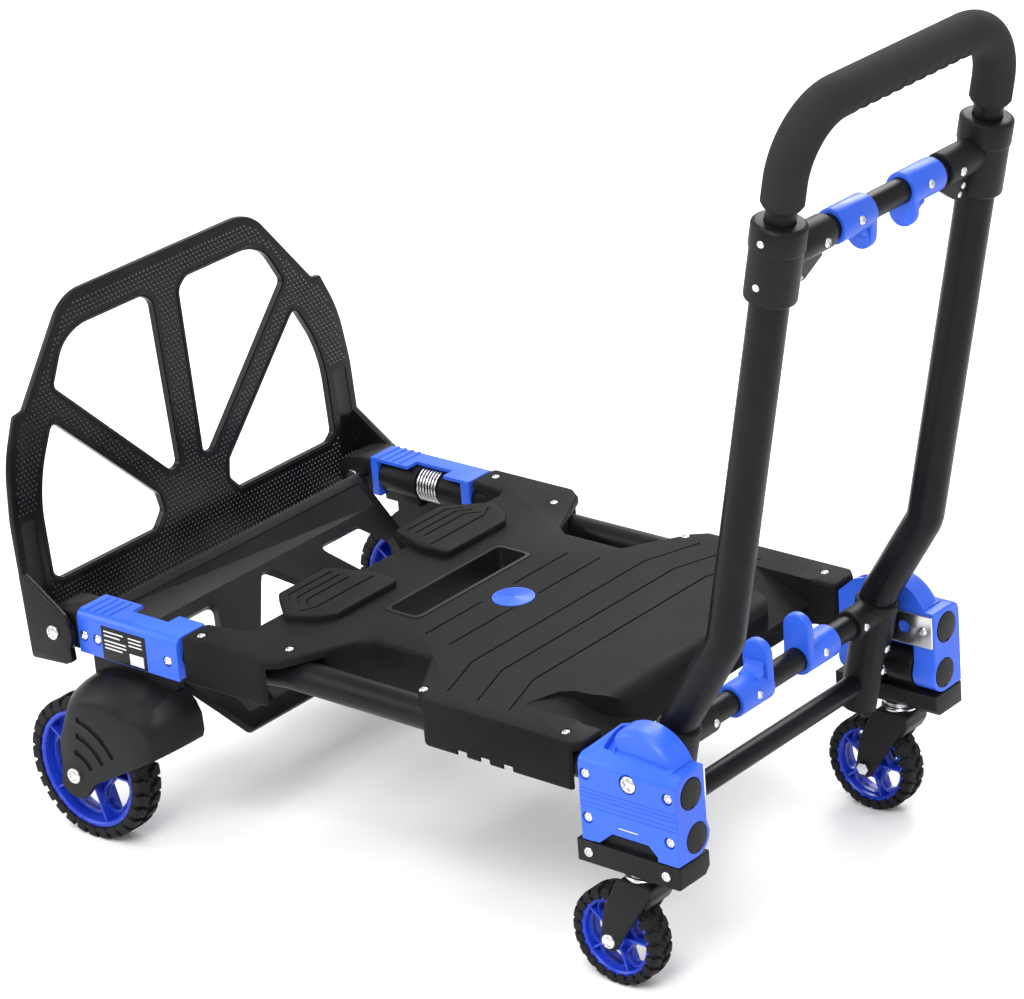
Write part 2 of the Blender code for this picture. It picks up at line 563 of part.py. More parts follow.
def add_pivot_bolt(name, s):
    x, z = PIVOT
    head = cylinder((x, s * (COVER_OUT_Y + GAP), z), (x, s * (COVER_OUT_Y + 3), z), 9, 16)
    shank = cylinder((x, s * 166, z), (x, s * (COVER_OUT_Y + 1), z), 5, 10)
    piece(f"pivot_bolt_{name}", "zinc_steel", head, add=[shank])


def add_handle_hub(name, s):
    y = s * HUB_Y
    body = cylinder((HUB_LOW[0], y, HUB_LOW[1]), (HUB_HIGH[0], y, HUB_HIGH[1]), HUB_R, 22)
    branch = cylinder((BAR_X, s * 116, BAR_Z), (BAR_X, s * 150, BAR_Z), 16, 20)
    tail_cut = side_box(s, (250, 335), (TAIL_OUT_Y, 190), (120, TAIL_TOP))
    socket = cylinder((along_hub(232), y, 232), (along_hub(270), y, 270), TUBE_R + GAP)
    bar_bore = cylinder((BAR_X, s * 110, BAR_Z), (BAR_X, s * 134, BAR_Z), BAR_R + GAP)
    bolt_hole = cylinder((PIVOT[0], s * 165, PIVOT[1]), (PIVOT[0], s * 190, PIVOT[1]), 5.4, 10)
    slot = hull([(along_hub(z) + a, s * b, z) for z in (154, 178) for a in (-6, 6) for b in (130, 150)])
    piece(f"handle_hub_{name}", "black_plastic", body, add=[branch],
          cut=[tail_cut, socket, bar_bore, bolt_hole, slot])


def add_lower_tube(name, s):
    y = s * HUB_Y
    path = rounded([(along_hub(234), y, 234), (along_hub(262), y, 262), on_line(y, BEND_S),
                    on_line(y, COLLAR_TOP_S - 6)], 40)
    piece(f"lower_tube_{name}", "frame_steel", tube(path, TUBE_R, TUBE_BORE, 18))


def add_collar(name, s):
    y = s * HUB_Y
    body = cylinder(on_line(y, COLLAR_LOW_S), on_line(y, COLLAR_TOP_S), COLLAR_R, 22)
    arm = cylinder(on_line(s * 86, CROSS_S), on_line(s * 140, CROSS_S), HOOK_R, 18)
    u = (math.cos(TILT) * 5, -math.sin(TILT) * 5)
    corners = [on_line(s * a, b) for a, b in ((90, 520), (140, 520), (140, 494), (128, 494))]
    web = hull([(x + k * u[0], yy, z + k * u[1]) for x, yy, z in corners for k in (-1, 1)])
    cuts = [cylinder(on_line(y, COLLAR_LOW_S - 5), on_line(y, COLLAR_TOP_S - 5), TUBE_R + GAP),
            cylinder(on_line(y, COLLAR_TOP_S - 8), on_line(y, COLLAR_TOP_S + 5), INNER_R + GAP),
            cylinder(on_line(s * 80, CROSS_S), on_line(s * 130, CROSS_S), BAR_R + GAP)]
    piece(f"collar_{name}", "black_plastic", body, add=[arm, web], cut=cuts)


def add_crossbars():
    y = 128.0
    piece("lower_crossbar", "frame_steel", pipe((BAR_X, -y, BAR_Z), (BAR_X, y, BAR_Z), BAR_R, 10.4))
    piece("upper_crossbar", "frame_steel", pipe(on_line(-y, CROSS_S), on_line(y, CROSS_S), BAR_R, 10.4))


def add_hook(node, centre, s, reach):
    """A sleeve on a crossbar with a round-ended flange at its inner end; reach is signed."""
    x, y, z = centre
    sleeve = cylinder((x, y - HOOK_HALF, z), (x, y + HOOK_HALF, z), HOOK_R, 18)
    way = 1 if reach > 0 else -1
    outline = [(x - FLANGE_HALF, z), (x + FLANGE_HALF, z)]
    outline += arc((x, z + reach - way * FLANGE_HALF), FLANGE_HALF, 0, way * 180, 8)
    flange = side_prism(s, outline, (FLANGE_IN_Y, FLANGE_OUT_Y))
    bore = cylinder((x, y - 40, z), (x, y + 40, z), BAR_R + GAP)
    piece(node, "blue_plastic", sleeve, add=[flange], cut=[bore])


def add_hooks():
    for name, s in SIDES:
        add_hook(f"lower_hook_{name}", (BAR_X, s * HOOK_Y, BAR_Z), s, 47)
        add_hook(f"upper_hook_{name}", on_line(s * HOOK_Y, CROSS_S), s, -34)


def add_release_bar():
    x, z = RELEASE_BAR
    bar = cylinder((x, -136.8, z), (x, 136.8, z), RELEASE_R, 18)
    tongue = cylinder((x, -149, z), (x, 149, z), 5, 10)
    piece("release_bar", "frame_steel", bar, add=[tongue])


def add_upper_handle():
    ends = [on_line(-HUB_Y, INNER_LOW_S), on_line(-HUB_Y, GRIP_TOP_S),
            on_line(HUB_Y, GRIP_TOP_S), on_line(HUB_Y, INNER_LOW_S)]
    piece("upper_handle_tube", "frame_steel",
          tube(rounded(ends, GRIP_CORNER, 4), INNER_R, INNER_BORE, 14))
    grip = [on_line(-HUB_Y, GRIP_LOW_S), ends[1], ends[2], on_line(HUB_Y, GRIP_LOW_S)]
    piece("foam_grip", "grip_foam", tube(rounded(grip, GRIP_CORNER, 4), GRIP_R, INNER_R + GAP, 14))


# ---- joints: an empty on each joint's axis carries the pieces that turn or slide with it ----

def joint_table():
    handle = ["lower_crossbar", "upper_crossbar"]
    handle += [f"{part}_{name}" for name, _ in SIDES
               for part in ("handle_hub", "lower_tube", "collar", "lower_hook", "upper_hook")]
    rows = [("handle_fold", (PIVOT[0], 0, PIVOT[1]), None, handle),
            ("handle_telescope", on_line(0, CROSS_S), "handle_fold", ["upper_handle_tube", "foam_grip"]),
            ("release_press", (RELEASE_BAR[0], 0, RELEASE_BAR[1]), "handle_fold", ["release_bar"]),
            ("toe_fold", (TOE_PIVOT[0], 0, TOE_PIVOT[1]), None, ["toe_plate"]),
            ("brace_fold", (BRACE_PIVOT[0], 0, BRACE_PIVOT[1]), None, ["brace_panel"])]
    for name, s in SIDES:
        rows += [(f"caster_fold_{name}", (SWIVEL_X, s * LOW_TUBE_Y, LOW_TUBE_Z), None,
                  [f"caster_carrier_{name}", f"caster_spring_{name}"]),
                 (f"caster_swivel_{name}", (SWIVEL_X, s * CASTER_Y, 124), f"caster_fold_{name}",
                  [f"caster_fork_{name}", f"caster_axle_{name}"]),
                 (f"caster_spin_{name}", (CASTER_AXLE[0], s * CASTER_Y, CASTER_AXLE[1]),
                  f"caster_swivel_{name}", [f"caster_tyre_{name}", f"caster_rim_{name}"]),
                 (f"rear_fold_{name}", (-311, s * RAIL_REAR_Y, RAIL_Z), None,
                  [f"wheel_carrier_{name}", f"carrier_spring_{name}", f"rear_axle_{name}"]),
                 (f"rear_spin_{name}", (REAR_AXLE[0], s * REAR_WHEEL_Y, REAR_AXLE[1]),
                  f"rear_fold_{name}", [f"rear_tyre_{name}", f"rear_rim_{name}"])]
    return rows


def hang(obj, parent, where):
    obj.parent = parent
    obj.matrix_parent_inverse = Matrix.Translation(-where)


def add_joints():
    spots = {}
    for name, centre, parent, pieces in joint_table():
        where = (Vector(centre) - Vector((CENTRE_X, 0, 0))) * MM
        empty = bpy.data.objects.new(name, None)
        empty.empty_display_size = 0.03
        bpy.context.collection.objects.link(empty)
        empty.location = where
        spots[name] = (empty, where)
        if parent:
            hang(empty, *spots[parent])
        for piece_name in pieces:
            obj = bpy.data.objects[piece_name]
            for item in [obj] + [m.object for m in obj.modifiers if m.type == "BOOLEAN"]:
                hang(item, empty, where)


def main():
    clear_scene()
    for name, s in SIDES:
        add_rail(name, s)
        add_rear_bracket(name, s)
        add_end_fitting(name, s)
        add_toe_bolt(name, s)
        add_wheel_carrier(name, s)
        add_rear_wheel(name, s)
        add_front_cover(name, s)
        add_lock_plate(name, s)
        add_caster_tube(name, s)
        add_caster_carrier(name, s)
        add_fork(name, s)
        add_caster_wheel(name, s)
        add_pivot_bolt(name, s)
        add_handle_hub(name, s)
        add_lower_tube(name, s)
        add_collar(name, s)
    add_deck()
    add_brace_panel()
    add_toe_plate()
    add_crossbars()
    add_hooks()
    add_release_bar()
    add_upper_handle()
    for obj in bpy.data.objects:
        obj.location.x -= CENTRE_X * MM
    add_joints()


main()
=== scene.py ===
"""Looks of the folding platform cart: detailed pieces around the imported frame, and the studio.

Sizes are millimetres in the cart's own frame: X along the cart towards the handle, Y across it
and Z up from the floor.  place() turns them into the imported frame's metres.  A side is -1 for the
left of the cart and 1 for the right.
"""
import math

import bmesh
import bpy
from mathutils import Matrix, Vector


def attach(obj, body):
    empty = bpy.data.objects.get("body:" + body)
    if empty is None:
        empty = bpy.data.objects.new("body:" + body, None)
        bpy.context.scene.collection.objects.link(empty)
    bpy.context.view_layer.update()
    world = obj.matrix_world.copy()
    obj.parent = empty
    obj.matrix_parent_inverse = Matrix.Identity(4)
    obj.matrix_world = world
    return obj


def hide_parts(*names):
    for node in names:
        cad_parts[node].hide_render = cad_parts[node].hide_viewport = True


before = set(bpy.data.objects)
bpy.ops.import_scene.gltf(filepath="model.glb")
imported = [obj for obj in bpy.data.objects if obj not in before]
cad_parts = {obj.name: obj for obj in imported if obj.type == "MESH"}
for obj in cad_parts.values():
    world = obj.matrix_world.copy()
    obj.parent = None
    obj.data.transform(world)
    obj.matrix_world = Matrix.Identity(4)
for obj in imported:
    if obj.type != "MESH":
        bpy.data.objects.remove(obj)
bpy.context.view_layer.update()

MM = 0.001
CENTRE_X = 15.63                # middle of the cart's length
SIDES = (("left", -1), ("right", 1))
TILT = math.radians(11.5)       # lean of the handle
LINE_BASE = (345.5, 215.0)      # foot of the handle's straight line
PIVOT_X, PIVOT_Z = 306.0, 222.0  # the handle's fold
RAIL_Y, RAIL_REAR_Y, RAIL_Z, RAIL_R = 205.0, 222.0, 219.0, 16.0
DECK_TOP, DECK_LOW = 245.0, 196.0
TOE_PIVOT = Vector((-405.0, 0, 216.0))
BRACE_PIVOT = Vector((-389.0, 0, 223.0))
REAR_AXLE = Vector((-368.0, 0, 77.0))
CASTER_X, SWIVEL_X, CASTER_Y = 270.0, 303.0, 206.0
CASTER_R, CASTER_RIM_R, REAR_R, REAR_RIM_R = 50.0, 41.0, 77.0, 64.0
LOW_TUBE_Y, LOW_TUBE_Z = 200.0, 172.0
HUB_Y = 158.0                   # the hubs' and handle tubes' distance from the middle
CROSS_S, GRIP_S = 533.0, 663.5
BAR_X, BAR_Z = 312.0, 245.0
HOOK_Y = 53.0
EMBLEM_X = -13.0
PEDAL = (294.3, 166.0)          # X, Z of the release bar
FENDER_OUT_Y = 285.0
UP = Vector((0, 0, 1))


# ---------------------------------------------------------------- materials

def set_inputs(node, **values):
    for key, value in values.items():
        node.inputs[key.replace("_", " ")].default_value = value


def shader_material(name, colour, rough, metal=0.0, bump=0.2, grain=900.0, shade=0.25, spread=0.08,
                    spec=0.2):
    """A moulded or painted surface: fine grain in the bump, uneven gloss and a little shading."""
    made = bpy.data.materials.new(name)
    made.use_nodes = True
    nodes, links = made.node_tree.nodes, made.node_tree.links
    shader = nodes["Principled BSDF"]
    set_inputs(shader, Metallic=metal, Specular_IOR_Level=spec)
    where = nodes.new("ShaderNodeTexCoord")
    broad = nodes.new("ShaderNodeTexNoise")
    set_inputs(broad, Scale=14.0, Detail=5.0)
    fine = nodes.new("ShaderNodeTexNoise")
    set_inputs(fine, Scale=grain, Detail=3.0)
    for noise in (broad, fine):
        links.new(where.outputs["Object"], noise.inputs["Vector"])
    tint = nodes.new("ShaderNodeValToRGB")
    for stop, position, change in zip(tint.color_ramp.elements, (0.35, 0.65), (1 - shade, 1 + shade)):
        stop.position = position
        stop.color = [min(1, c * change) for c in colour] + [1]
    links.new(broad.outputs["Fac"], tint.inputs["Fac"])
    links.new(tint.outputs["Color"], shader.inputs["Base Color"])
    gloss = nodes.new("ShaderNodeMapRange")
    set_inputs(gloss, From_Min=0.3, From_Max=0.7, To_Min=rough - spread, To_Max=rough + spread)
    links.new(broad.outputs["Fac"], gloss.inputs["Value"])
    links.new(gloss.outputs["Result"], shader.inputs["Roughness"])
    relief = nodes.new("ShaderNodeBump")
    set_inputs(relief, Strength=bump, Distance=0.0004)
    links.new(fine.outputs["Fac"], relief.inputs["Height"])
    links.new(relief.outputs["Normal"], shader.inputs["Normal"])
    return made


DECK = shader_material("deck_plastic", (0.0085, 0.0083, 0.0085), 0.50, bump=0.45, grain=700, spec=0.05)
PLASTIC = shader_material("black_plastic", (0.0065, 0.0065, 0.0075), 0.42, bump=0.3, grain=800, spec=0.14)
GLOSS = shader_material("toe_plastic", (0.006, 0.006, 0.007), 0.26, bump=0.12, grain=500, spec=0.16)
# Painted highlight: the dots are the toe plate's own plastic with a base colour three times lighter than the
# plate's, so they read as bright specks; their higher specular is real gloss.
DOTS_PAINTED_SHEEN = shader_material("toe_dots_painted_sheen", (0.018, 0.018, 0.020), 0.25, bump=0.05, spec=0.42)
STEEL = shader_material("powder_coat", (0.0055, 0.0055, 0.007), 0.34, bump=0.25, grain=1500, spec=0.12)
BLUE = shader_material("blue_plastic", (0.024, 0.100, 0.62), 0.36, bump=0.12, shade=0.06, spec=0.3)
RIM_BLUE = shader_material("rim_plastic", (0.012, 0.040, 0.44), 0.30, bump=0.10, shade=0.06, spec=0.3)
RUBBER = shader_material("tyre_rubber", (0.009, 0.009, 0.010), 0.66, bump=0.5, grain=500, spec=0.15)
FOAM = shader_material("grip_foam", (0.010, 0.010, 0.011), 0.88, bump=1.0, grain=1100, spread=0.05, spec=0.3)
ZINC = shader_material("zinc", (0.66, 0.66, 0.68), 0.24, metal=1.0, bump=0.06, grain=300, shade=0.08,
                       spec=0.5)
LABEL = shader_material("label_film", (0.007, 0.007, 0.008), 0.30, bump=0.05, spec=0.15)
PALE = shader_material("label_print", (0.62, 0.62, 0.62), 0.5, bump=0.05, shade=0.05, spec=0.3)
SLOTS = {finish: "black_plastic" for finish in (DECK, PLASTIC, GLOSS, DOTS_PAINTED_SHEEN, LABEL, PALE)}
SLOTS.update({STEEL: "frame_steel", BLUE: "blue_plastic", RIM_BLUE: "blue_plastic", RUBBER: "tyre_rubber",
              FOAM: "grip_foam", ZINC: "zinc_steel"})


# ---------------------------------------------------------------- solids, in millimetres

def skin(loops, closed=False, bm=None):
    """Skin equal loops of points; cap both ends, or join the last loop to the first."""
    bm = bm or bmesh.new()
    rows = [[bm.verts.new(Vector(p)) for p in loop] for loop in loops]
    count = len(rows[0])
    faces = []
    for low, high in list(zip(rows, rows[1:])) + ([(rows[-1], rows[0])] if closed else []):
        for i in range(count):
            j = (i + 1) % count
            faces.append(bm.faces.new((low[i], low[j], high[j], high[i])))
    if not closed:
        faces += [bm.faces.new(rows[0]), bm.faces.new(rows[-1])]
    bmesh.ops.recalc_face_normals(bm, faces=faces)
    return bm


def axes_of(direction, ref=None):
    d = Vector(direction).normalized()
    ref = ref or (Vector((0, 1, 0)) if abs(d.y) < 0.99 else Vector((1, 0, 0)))
    u = (ref - d * ref.dot(d)).normalized()
    return u, d.cross(u), d


def ring(centre, radius, u, v, count):
    turns = [2 * math.pi * i / count for i in range(count)]
    return [centre + u * (radius * math.cos(t)) + v * (radius * math.sin(t)) for t in turns]


def rod(start, end, radius, soft=1.0, count=48):
    """A round bar with softened rims."""
    a, b = Vector(start), Vector(end)
    u, v, d = axes_of(b - a)
    length = (b - a).length
    soft = min(soft, length / 2.1, radius * 0.8)
    steps = [(soft * (1 - math.cos(k * math.pi / 6)), soft * (1 - math.sin(k * math.pi / 6)))
             for k in (0, 1, 2, 3)]
    rows = [(along, radius - inset) for along, inset in steps]
    rows += [(length - along, r) for along, r in reversed(rows)]
    return skin([ring(a + d * along, r, u, v, count) for along, r in rows])


def cross_rod(s, x, z, near, far, *shape):
    """A rod across the cart, from y = near to y = far on side s."""
    return rod((x, s * near, z), (x, s * far, z), *shape)


def spin(profile, centre, axis=(0, 1, 0), count=96):
    """A closed profile of (radius, offset along the axis) turned about that axis."""
    u, v, d = axes_of(axis)
    centre = Vector(centre)
    loops = []
    for i in range(count):
        t = 2 * math.pi * i / count
        out = u * math.cos(t) + v * math.sin(t)
        loops.append([centre + out * r + d * h for r, h in profile])
    return skin(loops, closed=True)


def dome(centre, axis, radius, height, count=32):
    """A pan head: a flat foot, a short straight rim and a crowned top."""
    u, v, d = axes_of(axis)
    centre = Vector(centre)
    rows = [(radius, 0), (radius, height * 0.35)]
    rows += [(radius * math.cos(t), height * (0.35 + 0.65 * math.sin(t)))
             for t in (0.35, 0.7, 1.05, 1.35)]
    return skin([ring(centre + d * h, r, u, v, count) for r, h in rows])


def sweep(path, radius, count=40, inner=None, shape=None):
    """A bar or a tube along a path; shape(point, outward) may change the radius."""
    points = [Vector(p) for p in path]
    outer, inside = [], []
    u = None
    for i, p in enumerate(points):
        d = (points[min(i + 1, len(points) - 1)] - points[max(i - 1, 0)]).normalized()
        if u is None:
            u = axes_of(d)[0]
        u = (u - d * u.dot(d)).normalized()
        v = d.cross(u)
        loop = ring(p, radius, u, v, count)
        if shape:
            loop = [p + (q - p).normalized() * shape(p, (q - p).normalized(), i) for q in loop]
        outer.append(loop)
        if inner:
            inside.append(ring(p, inner, u, v, count))
    return skin(outer + inside[::-1], closed=True) if inner else skin(outer)


def rounded_path(points, radius, steps=14, spacing=None):
    """A polyline in space with its corners turned into arcs, and even points if asked for."""
    pts = [Vector(p) for p in points]
    out = [pts[0]]
    for before, corner, after in zip(pts, pts[1:], pts[2:]):
        a, b = (before - corner).normalized(), (after - corner).normalized()
        half = a.angle(b) / 2
        centre = corner + (a + b).normalized() * (radius / math.sin(half))
        cut = radius / math.tan(half)
        first, last = corner + a * cut - centre, corner + b * cut - centre
        axis, turn = first.cross(last).normalized(), first.angle(last)
        out += [centre + Matrix.Rotation(turn * i / steps, 3, axis) @ first for i in range(steps + 1)]
    out.append(pts[-1])
    if spacing:
        out = even(out, spacing)
    return out


def even(path, spacing):
    dense = [path[0]]
    for a, b in zip(path, path[1:]):
        parts = max(1, round((b - a).length / spacing))
        dense += [a.lerp(b, k / parts) for k in range(1, parts + 1)]
    return dense


def round_outline(points, radius, steps=5):
    """A closed 2-D outline with rounded corners; a point's third value is its own radius."""
    radii = [p[2] if len(p) > 2 else radius for p in points]
    pts = [Vector(p[:2]) for p in points]
    out = []
    for i, corner in enumerate(pts):
        a, b = pts[i - 1] - corner, pts[(i + 1) % len(pts)] - corner
        half = a.angle(b) / 2
        if half > 1.54:
            out.append(corner)
            continue
        cut = min(radii[i] / math.tan(half), a.length * 0.48, b.length * 0.48)
        a, b = a.normalized(), b.normalized()
        p, q = corner + a * cut, corner + b * cut
        for k in range(steps + 1):
            t = k / steps
            out.append(p * (1 - t) ** 2 + corner * (2 * t * (1 - t)) + q * t ** 2)
    return [tuple(p) for p in out]


def offset_outline(points, inset):
    """Each point of a closed outline moved inwards along its corner's bisector."""
    pts = [Vector(p) for p in points]
    area = sum(a.x * b.y - b.x * a.y for a, b in zip(pts, pts[1:] + pts[:1]))
    turn = 1 if area > 0 else -1
    out = []
    for i, p in enumerate(pts):
        e1 = (p - pts[i - 1]).normalized()
        e2 = (pts[(i + 1) % len(pts)] - p).normalized()
        n1, n2 = Vector((-e1.y, e1.x)) * turn, Vector((-e2.y, e2.x)) * turn
        n = (n1 + n2).normalized()
        out.append(p + n * (inset / max(0.5, n.dot(n1))))
    return out


PLANES = {"XY": lambda a, b, c: (a, b, c), "XZ": lambda a, b, c: (a, c, b), "YZ": lambda a, b, c: (c, a, b)}


def slab(outline, plane, low, high, soft=1.2, ends=(True, True), corner=0.0):
    """An outline extruded across its plane, with rounded rims at the ends that ask for them."""
    if corner:
        outline = round_outline(outline, corner)
    low, high = min(low, high), max(low, high)
    curve = [(soft * (1 - math.cos(k * math.pi / 6)), soft * (1 - math.sin(k * math.pi / 6)))
             for k in range(4)]
    rows = [(low + along, inset) for along, inset in curve] if ends[0] else [(low, 0.0)]
    tops = [(high - along, inset) for along, inset in reversed(curve)] if ends[1] else [(high, 0.0)]
    loops = []
    for level, inset in rows + tops:
        shape = offset_outline(outline, inset) if inset > 1e-6 else [Vector(p) for p in outline]
        loops.append([PLANES[plane](p.x, p.y, level) for p in shape])
    return skin(loops)


def block(low, high, soft=1.0):
    (x0, y0, z0), (x1, y1, z1) = low, high
    return slab([(x0, y0), (x1, y0), (x1, y1), (x0, y1)], "XY", z0, z1, soft, corner=soft)


def side_block(s, xs, ys, zs, soft=1.0):
    y0, y1 = sorted(s * y for y in ys)
    return block((xs[0], y0, zs[0]), (xs[1], y1, zs[1]), soft)


def side_slab(s, outline, ys, soft=1.2, corner=0.0):
    y0, y1 = sorted(s * y for y in ys)
    return slab(outline, "XZ", y0, y1, soft, corner=corner)


def hull(points):
    """The convex solid around some points."""
    bm = bmesh.new()
    for p in points:
        bm.verts.new(p)
    spare = bmesh.ops.convex_hull(bm, input=bm.verts)["geom_interior"]
    bmesh.ops.delete(bm, geom=spare, context="VERTS")
    return bm


def mirrored(half, s):
    return [(x, s * y) for x, y in half]


def arc(centre, radius, start, end, steps=16):
    turns = [math.radians(start + (end - start) * i / steps) for i in range(steps + 1)]
    return [(centre[0] + radius * math.cos(t), centre[1] + radius * math.sin(t)) for t in turns]


def band(path, width):
    """The outline of a strip of one width along an open 2-D path."""
    pts = [Vector(p) for p in path]
    left, right = [], []
    for i, p in enumerate(pts):
        d = (pts[min(i + 1, len(pts) - 1)] - pts[max(i - 1, 0)]).normalized()
        n = Vector((-d.y, d.x)) * width / 2
        left.append(tuple(p + n))
        right.append(tuple(p - n))
    return left + right[::-1]


def smooth(mesh, angle=38):
    bm = bmesh.new()
    bm.from_mesh(mesh)
    for face in bm.faces:
        face.smooth = True
    limit = math.radians(angle)
    for edge in bm.edges:
        edge.smooth = len(edge.link_faces) == 2 and edge.calc_face_angle(0) < limit
    bm.to_mesh(mesh)
    bm.free()


def add_object(name, data):
    obj = bpy.data.objects.new(name, data)
    bpy.context.scene.collection.objects.link(obj)
    return obj


def place(name, solids, finish, body, nodes=(), add=(), cut=(), move=None):
    """One visible piece from closed solids; add joins and cut carves the first of them."""
    solids = solids if isinstance(solids, list) else [solids]
    mesh = bpy.data.meshes.new(name)
    whole = bmesh.new()
    for bm in solids:
        part = bpy.data.meshes.new("part")
        bm.to_mesh(part)
        bm.free()
        whole.from_mesh(part)
        bpy.data.meshes.remove(part)
    whole.to_mesh(mesh)
    whole.free()
    obj = add_object(name, mesh)
    tools = []
    for operation, parts in (("UNION", add), ("DIFFERENCE", cut)):
        for bm in parts:
            tool_mesh = bpy.data.meshes.new("tool")
            bm.to_mesh(tool_mesh)
            bm.free()
            tool = add_object("tool", tool_mesh)
            tools.append(tool)
            step = obj.modifiers.new(operation, "BOOLEAN")
            step.operation = operation
            step.solver = "MANIFOLD"
            step.object = tool
    if tools:
        bpy.context.view_layer.update()
        shaped = bpy.data.meshes.new_from_object(obj.evaluated_get(bpy.context.evaluated_depsgraph_get()))
        obj.modifiers.clear()
        obj.data = shaped
        shaped.name = name
        bpy.data.meshes.remove(mesh)
        for tool in tools:
            spare = tool.data
            bpy.data.objects.remove(tool)
            bpy.data.meshes.remove(spare)
    mesh = obj.data
    if move:
        mesh.transform(move)
    mesh.transform(Matrix.Scale(MM, 4) @ Matrix.Translation((-CENTRE_X, 0, 0)))
    mesh.materials.clear()
    mesh.materials.append(finish)
    smooth(mesh)
    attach(obj, body)
    if nodes:
        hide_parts(*nodes)
    return obj


def screws(name, body, spots, finish=None, nodes=(), move=None):
    """Cross-head screws as one piece; each spot is (point, outward direction, radius)."""
    heads, slots = [], []
    for point, outward, radius in spots:
        point = Vector(point)
        u, v, d = axes_of(outward)
        heads.append(dome(point - d * 0.6, d, radius, radius * 0.55 + 0.6))
        for a, b in ((u + v, u - v), (u - v, u + v)):
            a, b = a.normalized() * radius * 0.62, b.normalized() * radius * 0.14
            base = point + d * radius * 0.22
            loops = [[base + a + b + d * h, base - a + b + d * h, base - a - b + d * h, base + a - b + d * h]
                     for h in (0, radius)]
            slots.append(skin(loops))
    return place(name, heads, finish or ZINC, body, nodes=nodes, cut=[join(slots[0::2]), join(slots[1::2])],
                 move=move)


def join(solids):
    """Several solids that don't touch, as one mesh."""
    whole = bmesh.new()
    for bm in solids:
        part = bpy.data.meshes.new("part")
        bm.to_mesh(part)
        bm.free()
        whole.from_mesh(part)
        bpy.data.meshes.remove(part)
    return whole


def coil(start, end, radius, wire, turns):
    """A helical spring with its ends closed flat."""
    a, b = Vector(start), Vector(end)
    u, v, d = axes_of(b - a)
    steps = int(turns * 22)
    path = []
    for i in range(steps + 1):
        t = i / steps
        angle = 2 * math.pi * turns * t
        path.append(a.lerp(b, t) + u * (radius * math.cos(angle)) + v * (radius * math.sin(angle)))
    return sweep(path, wire, count=10)


# ---------------------------------------------------------------- deck and frame

def deck_outline():
    half = [(217, 0), (216, 134), (216, 182), (246, 182), (246, 214), (236, 225), (60, 225),
            (44, 212), (6, 149), (-66, 149), (-80, 158), (-116, 232), (-132, 243), (-239, 243),
            (-239, 203), (-190, 196)]
    return half + [(x, -y) for x, y in reversed(half[1:])]


def pad_outline(s):
    return mirrored([(-214, 52), (-168, 37), (-130, 37), (-130, 130), (-142, 145), (-172, 161),
                     (-214, 125)], s)


def deck_cuts():
    low, under, roof = DECK_LOW - 5, DECK_TOP - 6, RAIL_Z + 17.5
    cuts = [block((-185, -182, low), (-110, 182, under), 1),
            block((-58, -144, low), (50, 144, under), 1),
            block((48, -182, low), (144, 182, under), 1),
            block((142, -92, low), (190, 92, under), 1),
            slab([(-105, -88), (-63, -88), (-63, 88), (-105, 88)], "XY", low, DECK_TOP + 9, 0.5, corner=8)]
    nose = arc((197, 225), 20, 90, 0, 12) + [(232, 225), (232, DECK_TOP + 9), (197, DECK_TOP + 9)]
    cuts.append(slab(nose, "XZ", -181.6, 181.6, 0.1))
    for _, s in SIDES:
        plan = [(151, 181.6), (151, 172), (160, 144), (172, 134)] + arc((182, 97), 36, 90, 4, 12)
        plan += [(226, 99), (226, 181.6)]
        cuts.append(skin([[(x, s * y, level(x)) for x, y in plan]
                          for level in (lambda x: DECK_TOP - (x - 150) * 0.40, lambda x: DECK_TOP + 9)]))
        cuts.append(side_block(s, (-240, -106), (200, 240), (low, roof), 1))
        cuts.append(side_block(s, (-196, 248), (187.5, 222), (low, roof), 1))
        cuts += [side_block(s, (x, x + 13), (219, 232), (low, DECK_LOW + 7), 1) for x in (98, 126, 154)]
    return cuts


def groove_lines():
    """Shallow grooves across the deck; the front three kink towards the handle near their ends."""
    lines = []
    for _, s in SIDES:
        lines += [[(-33, s * 25), (-33, s * 111)], [(3, s * 19), (3, s * 118)]]
    for x in (47, 84, 123):
        half = [(x, 135), (x + 22, 198)]
        lines.append(mirrored(half, -1)[::-1] + half)
    return lines


def deck_screw_spots():
    return [(x, s * y) for _, s in SIDES for x, y in ((-224, 227), (-127, 205), (45, 205), (218, 205))]


